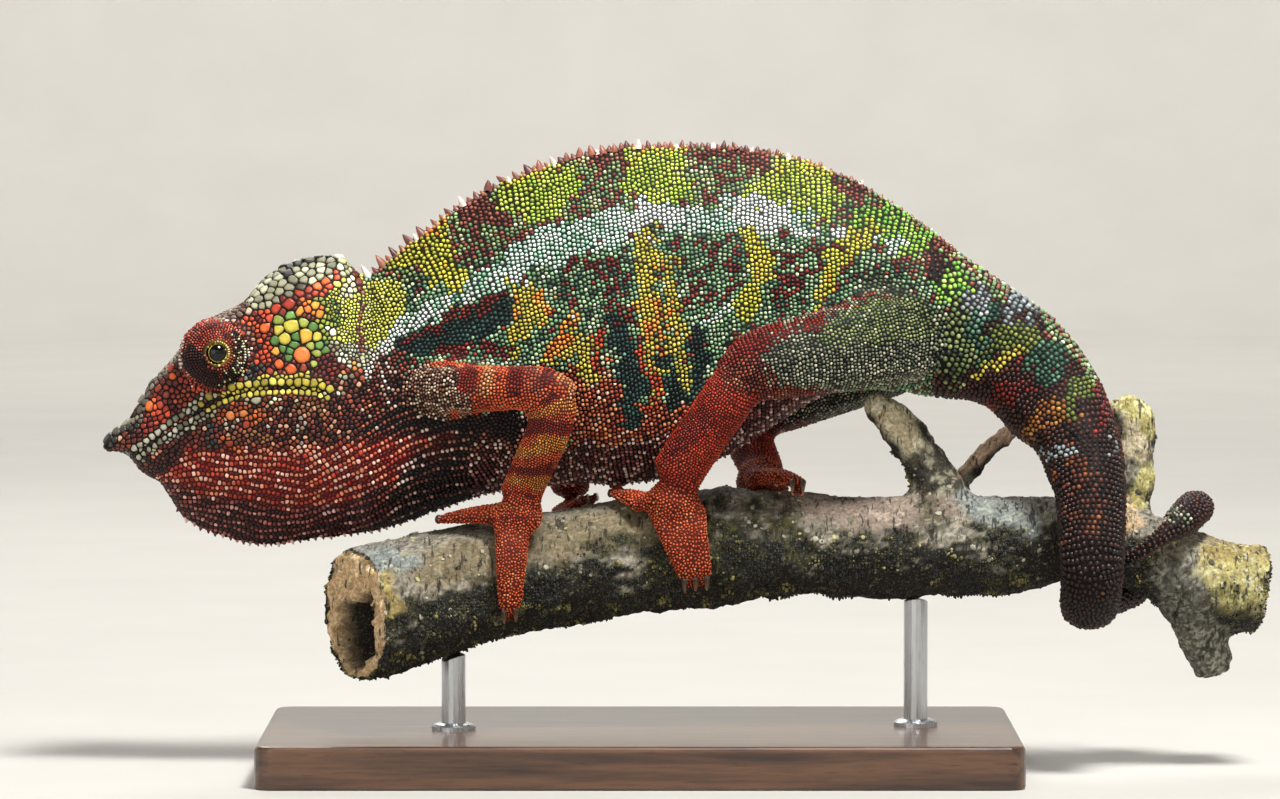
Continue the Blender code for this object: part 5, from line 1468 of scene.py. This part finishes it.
def makeBellyEdge(horn):
    # small pointed scales along the throat and the belly
    places, x = [], bellySizes["start"]
    while x < bellySizes["stop"]:
        hit = skinTree.ray_cast((x, 0.0, 20.0), (0, 0, 1), 90.0)
        if hit[0] is not None and hit[1][2] < -0.3:
            normal = np.array(hit[1])
            tall = bellySizes["throatTall" if x < bellySizes["throatUpTo"] else "tall"]
            root, aim = np.array(hit[0]) - normal * bellySizes["sunk"], normal + np.array([0.25, 0, 0])
            code = str(dice.choice(bellySizes["colours"]))
            places.append((root, unit(aim), (0.5, 0.42, tall + 0.3), linearColour(code)))
        x += bellySizes["spacing"] * dice.uniform(0.85, 1.15)
    stamp = stampShape("edgeStamp", [(1.0, 0.0), (0.82, 0.45), (0.45, 0.8), (0.1, 1.0)], 7)
    stampOn("belly_crest", zip(*places), stamp, horn, 0.15, 5, "hide_red")


eyeShape = {
    "radius": 2.6, "back": 4.7, "rings": [5, 10, 15, 20, 26, 32, 37, 40, 42, 44, 46, 49, 54, 62, 72, 84],
    "pupil": 43.0, "iris": 48.0, "sides": 48, "raised": 1.03, "black": "050403", "gold": "D0B858",
    "dark": "1C0F0A",
}


def makeEyes():
    # a wet eye: black pupil sunk a little in a thin gold iris, dark beyond
    material = tintedMaterial("wetEye", 0.35, 0.3, 0.7, 0.7, 1.3, Roughness=0.10, Coat_Weight=0.25,
                              Coat_Roughness=0.03, IOR=1.33)[0]
    sides, rows = eyeShape["sides"], len(eyeShape["rings"])
    for side, sign in (("left", -1), ("right", 1)):
        middle, gaze, across, up = eyeFrame(sign)
        middle = middle + gaze * eyeShape["back"]
        points, tints = [], []
        for degrees in eyeShape["rings"]:
            lean, inIris = math.radians(degrees), degrees < eyeShape["iris"]
            paint = "black" if degrees < eyeShape["pupil"] else ("gold" if inIris else "dark")
            for turn in turnsOf(sides):
                aim = gaze * math.cos(lean) + (across * math.cos(turn) + up * math.sin(turn)) * math.sin(lean)
                points.append(middle + aim * (eyeShape["radius"] * (eyeShape["raised"] if inIris else 1.0)))
                streak = 1 + 0.25 * math.sin(turn * 17) if paint == "gold" else 1
                tints.append(linearColour(eyeShape[paint]) * streak)
        points.append(middle + gaze * eyeShape["radius"] * eyeShape["raised"])
        tints.append(linearColour(eyeShape["black"]))
        faces = ringFaces(rows, sides) + [(rows * sides, k, (k + 1) % sides) for k in range(sides)]
        faces.append(tuple(range((rows - 1) * sides, rows * sides)))
        eye = makePiece(f"eye_{side}", points, faces, material, np.array(tints).clip(0, 1), turnOut=True)
        keepWith(eye, "eye", f"eyeball_{side}")


branchRows = [  # the perch's middle line: x, y, z and radius
    (-63, -17.4, 32.8, 14), (-50.4, -12, 35.7, 14), (-29.4, -5.5, 40.7, 13.2),
    (-8.4, -2, 43.9, 12.8), (12.6, 0, 46.4, 12.8), (33.6, 0, 47.5, 11.5), (54.6, 0, 46.6, 11.2),
    (75.6, 0, 47.2, 11), (88, 0, 48.4, 9.6), (97, 0, 48.4, 8), (107.1, 0.4, 45.4, 8.6),
    (118.6, 1.5, 39.6, 10), (131, 3, 37.6, 10.2),
]
toeBundles = [  # toes, angles round the perch at root and tip, x and spacing at the tip, its radius
    (2, (44, 112), -27, 2.4, 1.7), (3, (32, 8), -40, 2, 1.6), (2, (-62, -122), -16.4, 2.4, 1.7),
    (3, (-50, -26), -11, 1.8, 1.3), (3, (52, 108), 11.6, 2.3, 1.8), (2, (44, 16), -5, 2.4, 1.5),
    (3, (-40, -108), 27, 2.3, 1.8), (2, (-24, 20), 33, 2.2, 1.7),
]
clawSizes = {"reach": 17.0, "sides": 10, "rows": 9, "thick": 0.92, "small": 0.82, "smallUpTo": 1.55,
             "root": "2A1C16", "tip": "8A7258"}


def roundBranch(x, degrees, reach):
    rows = np.array(branchRows)
    y, z, radius = (np.interp(x, rows[:, 0], rows[:, i]) for i in (1, 2, 3))
    turn = math.radians(degrees)
    return np.array((x, y - math.sin(turn) * (radius + reach), z + math.cos(turn) * (radius + reach)))


def makeClaws():
    # hooked claws, dark at the root and worn paler to the tip
    points, faces, tints, rows, sides = [], [], [], clawSizes["rows"], clawSizes["sides"]
    root, tip = linearColour(clawSizes["root"]), linearColour(clawSizes["tip"])
    for count, angles, middle, spacing, radius in toeBundles:
        turn = math.copysign(clawSizes["reach"], angles[1] - angles[0])
        for x in (middle + (toe - (count - 1) / 2) * spacing for toe in range(count)):
            start = len(points)
            for t in np.linspace(0, 1, rows):
                reach = radius * (1.25 + 0.15 * math.sin(t * 2.2) - 0.62 * t ** 1.6) + 0.25
                spot = roundBranch(x, angles[1] + turn * t * 1.02 - turn * 0.1, reach)
                ahead = roundBranch(x, angles[1] + turn * (t * 1.02 + 0.02) - turn * 0.1, reach - 0.02)
                side = unit(np.cross(unit(ahead - spot), (1.0, 0.0, 0.0)))
                thick = clawSizes["thick"] * (1 - t) ** 0.75
                thick = thick * (clawSizes["small"] if radius < clawSizes["smallUpTo"] else 1.0) + 0.05
                points += [spot + np.array((1.0, 0, 0)) * math.cos(around) * thick * 0.8
                           + side * math.sin(around) * thick for around in turnsOf(sides)]
                tints += [root * (1 - t) + tip * t] * sides
            last = start + (rows - 1) * sides
            faces += ringFaces(rows, sides, start)
            faces += [tuple(range(start, start + sides)), tuple(range(last, last + sides))]
    material = tintedMaterial("clawHorn", 0.4, 0.3, 0.7, 0.75, 1.25, Roughness=0.28, Coat_Weight=0.3,
                              Coat_Roughness=0.2)[0]
    keepWith(makePiece("claws", points, faces, material, np.array(tints), turnOut=True), "hide_red")


hornSpine = tintedMaterial("hornSpine", 0.5, 0.3, 0.7, 0.8, 1.2, Roughness=0.42)[0]  # dry horn, dull gloss
makeCrest(hornSpine)
makeBellyEdge(hornSpine)
makeEyes()
makeClaws()
print("eyes, claws and crests ready")


# perch: one bark surface over the branch and its stubs, with moss and lichen standing on it

perchNames = ["perch_branch", "perch_stub_left", "perch_stub_right", "perch_twig", "perch_fork"]
barkSizes = {
    "voxel": 0.66, "evenOut": 26, "inset": 0.35, "ridge": 0.40, "lump": 0.55,
    "breakMiddle": (-64.0, -18.0, 32.6), "breakFacing": (1.0, 0.62, 0.05), "hollowDepth": 11.0,
    "hollowRadius": 8.2, "hollowDrop": 2.6,
}
barkPaints = {
    "greyBark": "7E776A 6E6859 928B7B 58534A", "pinkBark": "8A7869 7A6A5C 9C8B7C",
    "beigeBark": "74674F 64593F 86785C", "blueLichen": "7C8280 666E6C 92988F",
    "mossBark": "0A0B05 12130A 1E200D 2E2E13 48431F", "paintedShadeBark": "050403 090806 100E0A",
    "rawWood": "C6A880 B8966C D2B890", "paleWood": "D9CCAE C8B894 E4DAC0", "ochre": "94824A 7C6C3C A8985C",
    "lichenYellow": "B8AE70 9E9458 D0C890", "twigBark": "C4A68C B4947A D2B8A0",
    "pebbled": "14120C 221E14 7E7A66", "fissured": "6A675C 4C4A42 8A877A 33312B", "hollow": "0E0A07 1A120C",
}
barkStrokes = [  # written as the animal's markings are
    "beigeBark 0.9 4: -44 42 4, -30 45 4, -22 48 5, 0 52 5",
    "blueLichen 0.8 2: -62 44 3, -55 43 3.4, -47 43.5 2",
    "mossBark 1 3: -57 50.5 2, -46 52 3, -35 54 3",
    "mossBark 0.8 3: -9 46 2.4, -2 48 2.4",
    "pinkBark 0.9 4: 34 56.5 5, 50 56 5, 63 56 4",
    "mossBark 1 3: 18 46 6, 27 52 5.5, 31 46 5",
    "mossBark 0.8 3: 56 64 3, 60 58 3.4, 61 52 3",
    "blueLichen 0.75 2.5: 68 57 2.4, 76 54 3.4, 82 52 3",
    "ochre 0.9 2: -53.5 38.5 2.6, -52.6 33.5 2.2",
    "paleWood 0.9 2: 50 78 3, 55 71 3.4, 59 66 2.4",
    "pebbled 0.9 2: 54 62 3, 60 63 4, 66 61 3",
    "twigBark 0.95 2: 69 63 3.2, 74.5 69 3.2, 80 72 3",
    "lichenYellow 0.95 2: 98 79 2.4, 106 76 4, 107.5 73 3",
    "paleWood 0.95 2: 102 67 2.2, 105.5 67.5 2.6, 104 71.5 2",
    "lichenYellow 0.95 2: 108.5 60.5 4, 106 57 2.5",
    "rawWood 0.8 1.6: 102.5 57 1.6, 103.5 52.5 1.8",
    "ochre 0.9 3: 120 46 3, 133 46 4",
    "lichenYellow 0.7 3: 121 40 5, 133 38 6",
    "fissured 1 2: 112.6 40 5, 116 31 6, 121.5 20 6.5",
]
barkKnots = [(17.2, 55.4, 3.6, 1.3), (106.6, 74.6, 3.4, 1.6), (108.0, 60.0, 3.2, 1.5), (97.2, 79.6, 2.4, 1.0)]


def barkCodes(paint):
    return np.array([linearColour(code) for code in barkPaints[paint].split()])


def paintBark(points, normals):
    random = np.random.default_rng(8)
    view = sideView(points) + noisePair(points, 5.0, 3, 31) * 1.6
    high = normals[:, 2] + 0.45 * noiseStack(points, 7.0, 3, 33)
    tints = np.zeros((len(points), 3))

    def lay(paint, cover):
        codes = barkCodes(paint)
        mottle = 0.5 + 0.5 * noiseStack(points, 1.9, 2, 34) + random.normal(0, 0.12, len(points))
        pick = codes[(mottle * len(codes)).astype(int).clip(0, len(codes) - 1)]
        tints[:] = tints + (pick - tints) * np.clip(cover, 0, 1)[:, None]

    # bark that faces down stays near black: painted shade under the branch
    lay("paintedShadeBark", np.ones(len(points)))
    # moss on the sides below the pale top, its colour darkened past the moss's own as painted shade
    lay("mossBark", (high + 0.50) * 2.0 * (0.50 + 0.9 * noiseStack(points, 2.0, 3, 35)))
    lay("greyBark", (high - 0.08 + 0.35 * noiseStack(points, 2.6, 3, 36)) * 3.0)
    for paint, strength, soft, stroke in (readStroke(text) for text in barkStrokes):
        if paint == "mossBark":
            share = (points[:, 1] < 6) * (0.8 + 0.9 * noiseStack(points, 2.0, 3, 37))
        else:
            share = 0.75 + 0.25 * (normals[:, 2] > -0.4)
        lay(paint, strength * brushCover(view, stroke, soft) * share)
    return tints, random


def makePerch():
    points, faces, _ = joinSolids(perchNames, 0.2)
    bark, barkFaces, edges = fuse("rough_bark", points, faces, barkSizes["voxel"])
    bark = relax(bark, edges, np.full(len(bark), 0.5), barkSizes["evenOut"])
    normals = normalsOf(bark, barkFaces)
    # the broken end: a ragged rim of wood round a hollow, painted near black as painted shade in the recess
    facing = unit(np.array(barkSizes["breakFacing"]))
    middle = np.array(barkSizes["breakMiddle"])
    across = unit(np.cross(facing, (0, 0, 1)))
    local = np.column_stack([(bark - middle) @ across, (bark - middle)[:, 2] + barkSizes["hollowDrop"]])
    inner = np.hypot(local[:, 0], local[:, 1]) + 2.4 * noiseStack(bark, 4.0, 3, 41)
    endFace = (normals @ facing < -0.55) & (bark[:, 0] < -50)
    hollow = np.clip((barkSizes["hollowRadius"] - inner) / 3.0, 0, 1) * endFace
    bark = bark + facing * (hollow * barkSizes["hollowDepth"])[:, None]
    rim = endFace * (1 - np.clip(hollow, 0, 1))
    bark = bark + facing * (rim * (0.9 + 1.1 * noiseStack(bark, 2.6, 3, 42)))[:, None].clip(0, 3)
    # bark relief: low lumps, ridges round the branch and thin cracks across them
    lift = barkSizes["lump"] * noiseStack(bark, 9.0, 3, 43) - barkSizes["inset"] - 0.2
    stretched = bark * np.array([1.0, 0.35, 0.35])
    lift -= barkSizes["ridge"] * np.clip(0.16 - np.abs(noiseStack(stretched, 2.3, 2, 44)), 0, 1) / 0.16 * 0.8
    lift += 0.22 * noiseStack(bark, 1.3, 2, 45)
    rough = np.clip(0.35 - (normals[:, 2] + 0.45 * noiseStack(bark, 7.0, 3, 33)), 0, 1)
    lift += rough * 0.45 * noiseStack(bark, 2.0, 3, 46)
    view = sideView(bark)
    for x, z, radius, tall in barkKnots:
        gap = np.hypot(view[:, 0] - x, view[:, 1] - z) / radius
        ring = np.exp(-((gap - 0.75) / 0.32) ** 2) * tall - np.exp(-(gap / 0.45) ** 2) * tall * 0.9
        lift += (ring if tall < 1.45 else np.exp(-gap ** 2) * tall) * (bark[:, 1] < 8)
    bark = bark + normals * np.minimum(lift, 0.6)[:, None] * (1 - hollow)[:, None]
    normals = normalsOf(bark, barkFaces)
    tints, random = paintBark(bark, normals)
    for paint, cover in (("rawWood", rim), ("hollow", np.clip(hollow * 2.2, 0, 1))):
        codes = barkCodes(paint)
        pick = codes[random.integers(0, len(codes), len(bark))]
        tints += (pick - tints) * np.clip(cover, 0, 1)[:, None]
    keepWith(makePiece("perch_bark", bark, barkFaces, barkMaterial(), tints), "bark", *perchNames)
    return bark, normals, hollow + rim


def barkMaterial():
    # weathered bark: dry and matt, thin dark cracks across the grain, specks of lichen
    material, tree, shader, place, tint, speck, colour = tintedMaterial(
        "weatheredBark", 0.7, 0.35, 0.65, 0.60, 1.34, 4.0, 0.65, Roughness=0.88)
    long = addNode(tree, "ShaderNodeMapping", {"Vector": place, "Scale": (1.0, 0.28, 0.28)})
    slanted = addNode(tree, "ShaderNodeMapping", {"Vector": place, "Rotation": (0.0, 0.6, 0.0),
                                                  "Scale": (1.0, 0.2, 0.2)})
    crack, split, lump = (
        addNode(tree, "ShaderNodeTexNoise", {"Vector": way, "Scale": 1 / (size * mm), "Detail": detail,
                                             "Roughness": grain})
        for way, size, detail, grain in (
            (long, 1.1, 4.0, 0.6), (slanted, 0.8, 2.0, 0.5), (place, 0.42, 2.0, 0.55)))
    shade = addNode(tree, "ShaderNodeRGBToBW", {"Color": tint})
    mossy, deep, cut, grains, worn = (
        addNode(tree, "ShaderNodeMapRange", {"Value": value, 1: low, 2: high, 3: first, 4: last})
        for value, low, high, first, last in ((shade, 0.10, 0.16, 1.0, 0.0), (crack, 0.41, 0.36, 0.0, 0.85),
                                              (split, 0.36, 0.33, 0.0, 0.8), (lump, 0.60, 0.65, 0.0, 1.0),
                                              (crack, 0.3, 0.5, 0.0, 1.0)))
    grit = addNode(tree, "ShaderNodeMath", {0: grains, 1: mossy}, operation="MULTIPLY")
    for share, code in ((deep, "16140F"), (cut, "1C1812"), (grit, "5E5A36")):
        colour = addNode(tree, "ShaderNodeMix", {0: share, 6: colour, 7: colourOf(code)}, 2, data_type="RGBA")
    height = addNode(tree, "ShaderNodeMath", {0: worn, 1: speck}, operation="ADD")
    setInputs(tree, shader, {"Base Color": colour, "Normal": addNode(
        tree, "ShaderNodeBump", {"Height": height, "Strength": 0.8, "Distance": 0.35 * mm})})
    return material


mossSizes = {  # how many, size on three axes, rings and sides of the stamp, colours from dark to pale
    # the moss colours are darker than the moss itself: partly painted shade of the branch's lower side
    "moss": (9000, (0.30, 0.30, 0.42), [(0.9, -0.3), (0.75, 0.3), (0.42, 0.75), (0.08, 1.0)], 5,
             "060703 0B0C06 131508 1E200C 2E2F13 42421D 5C562A 7C743C"),
    "lichen": (900, (0.46, 0.38, 0.12), [(0.95, -0.5), (1.0, 0.35), (0.7, 0.85), (0.25, 1.0)], 7,
               "4E4A3C 6E6A56 8A8672 A29E8A A8A068"),
}
bareStrokes = [[(113, 38, 5), (122, 19, 7)], [(50, 77, 5), (57, 68, 4)], [(70, 62, 4), (80, 72, 4)]]
stubStroke = [(98, 80, 5), (106, 74, 5), (106, 58, 6)]


def makeMoss(bark, normals, blocked):
    # moss tufts on the shaded sides, flat lichen crusts above them
    random = np.random.default_rng(19)
    high, patch = normals[:, 2] + 0.45 * noiseStack(bark, 7.0, 3, 33), noiseStack(bark, 5.0, 3, 51)
    view = sideView(bark)
    bare = (blocked > 0.05) | np.any([brushCover(view, stroke, 1.0) > 0.5 for stroke in bareStrokes], axis=0)
    onStub = brushCover(view, stubStroke, 1.0) > 0.5
    material = tintedMaterial("mossTuft", 0.5, 0.3, 0.7, 0.7, 1.3, Roughness=0.95, Sheen_Weight=0.25)[0]
    chances = {
        "moss": (0.26 - high).clip(0, 0.5) * (patch + 0.55).clip(0, 1) * (high > -0.9) * ~bare * ~onStub,
        "lichen": (high > -0.35) * (0.4 - patch).clip(0, 1) * ~bare,
    }
    for name, (count, size, rings, sides, codes) in mossSizes.items():
        chance, codes = chances[name], np.array([linearColour(code) for code in codes.split()])
        count = min(count, int((chance > 0).sum()))
        spots = random.choice(len(bark), count, replace=False, p=chance / chance.sum())
        aims = unit(normals[spots] + random.normal(0, 0.28, (len(spots), 3)))
        shade = 0.42 + 0.7 * noiseStack(bark[spots], 2.4, 2, 52) + random.normal(0, 0.12, len(spots))
        tints = codes[(shade * len(codes)).astype(int).clip(0, len(codes) - 1)]
        sizes = np.tile(size, (len(spots), 1)) * random.uniform(0.6, 1.3, (len(spots), 1))
        stamp = stampShape(name + "Stamp", rings, sides, 0.18)
        stampOn(name + "_on_perch", (bark[spots], aims, sizes, tints), stamp, material, 0.5, 9, "bark")


makeMoss(*makePerch())
print("perch ready")


# stand: lacquered walnut base with a moulded edge, steel rods in collars

standSizes = {
    # width, steps and profile of each edge
    "corner": (4.0, 6, 0.5), "rim": (1.6, 5, 0.6), "foot": (0.5, 2, 0.5),
    "top": 9.0, "collarTall": 1.6, "collarSides": 40,
    # radius and share of the collar's height
    "collar": [(2.62, 0.0), (4.6, 0.0), (4.6, 0.55), (4.1, 0.8), (3.1, 1.0), (2.62, 1.0)],
}


def woodMaterial():
    # lacquered walnut: long grain in two browns, fine dark pores, a soft gloss over all
    material, tree, shader, place = newMaterial("lacqueredWalnut", Roughness=0.34, Coat_Weight=0.35,
                                                Coat_Roughness=0.12)
    long = addNode(tree, "ShaderNodeMapping", {"Vector": place, "Scale": (0.06, 1.0, 1.0)})
    grain, pore = (
        addNode(tree, "ShaderNodeTexNoise", {"Vector": long, "Scale": 1 / (size * mm), "Detail": detail,
                                             "Roughness": rough})
        for size, detail, rough in ((2.2, 6.0, 0.6), (0.5, 3.0, 0.7)))
    colour = colourOf("2A1A11")
    for value, low, high, most, code in (
            (grain, 0.30, 0.48, 1.0, "4A3020"), (grain, 0.48, 0.62, 1.0, "5E3F2A"),
            (grain, 0.62, 0.75, 1.0, "3A2418"), (pore, 0.42, 0.32, 0.6, "1A100A")):
        share = addNode(tree, "ShaderNodeMapRange", {"Value": value, 1: low, 2: high, 3: 0.0, 4: most})
        colour = addNode(tree, "ShaderNodeMix", {0: share, 6: colour, 7: colourOf(code)}, 2, data_type="RGBA")
    setInputs(tree, shader, {"Base Color": colour, "Normal": addNode(
        tree, "ShaderNodeBump", {"Height": pore, "Strength": 0.4, "Distance": 0.05 * mm})})
    return material


def steelMaterial():
    # brushed stainless steel: fine lines along the rod that draw its highlight out
    material, tree, shader, place = newMaterial("brushedSteel", Roughness=0.30, Metallic=1.0)
    lines = addNode(tree, "ShaderNodeMapping", {"Vector": place, "Scale": (1.0, 1.0, 0.03)})
    brush = addNode(tree, "ShaderNodeTexNoise", {"Vector": lines, "Scale": 1 / (0.25 * mm), "Detail": 3.0,
                                                 "Roughness": 0.55})
    share = addNode(tree, "ShaderNodeMapRange", {"Value": brush, 1: 0.3, 2: 0.7, 3: 0.0, 4: 1.0})
    greys = {0: share, 6: colourOf("A9ABAD"), 7: colourOf("C8CACC")}
    setInputs(tree, shader, {
        "Base Color": addNode(tree, "ShaderNodeMix", greys, 2, data_type="RGBA"),
        "Roughness": addNode(tree, "ShaderNodeMapRange", {"Value": brush, 1: 0.3, 2: 0.7, 3: 0.24, 4: 0.40})})
    return material


def makeStand():
    low, high = (np.array(corner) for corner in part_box("stand_base"))
    bm = bmesh.new()
    bmesh.ops.create_cube(bm, size=1.0)
    for vertex in bm.verts:
        vertex.co = Vector(low + (np.array(vertex.co) + 0.5) * (high - low))
    for key, picked in (
            ("corner", lambda ends: abs(ends[0] - ends[1]) > 0.1 * mm),
            ("rim", lambda ends: min(ends) > high[2] - 1e-6), ("foot", lambda ends: max(ends) < 1e-6)):
        width, steps, profile = standSizes[key]
        edges = [edge for edge in bm.edges if picked([vertex.co.z for vertex in edge.verts])]
        bmesh.ops.bevel(bm, geom=edges, offset=width * mm, segments=steps, affect="EDGES", profile=profile)
    mesh = bpy.data.meshes.new("stand_plinth")
    bm.to_mesh(mesh)
    bm.free()
    mesh.materials.append(woodMaterial())
    keepWith(newObject("stand_plinth", mesh), "stand_wood", "stand_base")
    steel, turns = steelMaterial(), turnsOf(standSizes["collarSides"])
    for side in ("left", "right"):
        for slot in nodes[f"stand_rod_{side}"].material_slots:
            slot.material = steel
        low, high = (np.array(corner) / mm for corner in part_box(f"stand_rod_{side}"))
        x, y = (low[0] + high[0]) / 2, (low[1] + high[1]) / 2
        points = [(x + r * math.cos(turn), y + r * math.sin(turn),
                   standSizes["top"] + standSizes["collarTall"] * h)
                  for r, h in standSizes["collar"] for turn in turns]
        faces = ringFaces(len(standSizes["collar"]), len(turns), closed=True)
        keepWith(makePiece(f"stand_collar_{side}", points, faces, steel, smooth=False), "stand_steel")


makeStand()
print("stand ready")
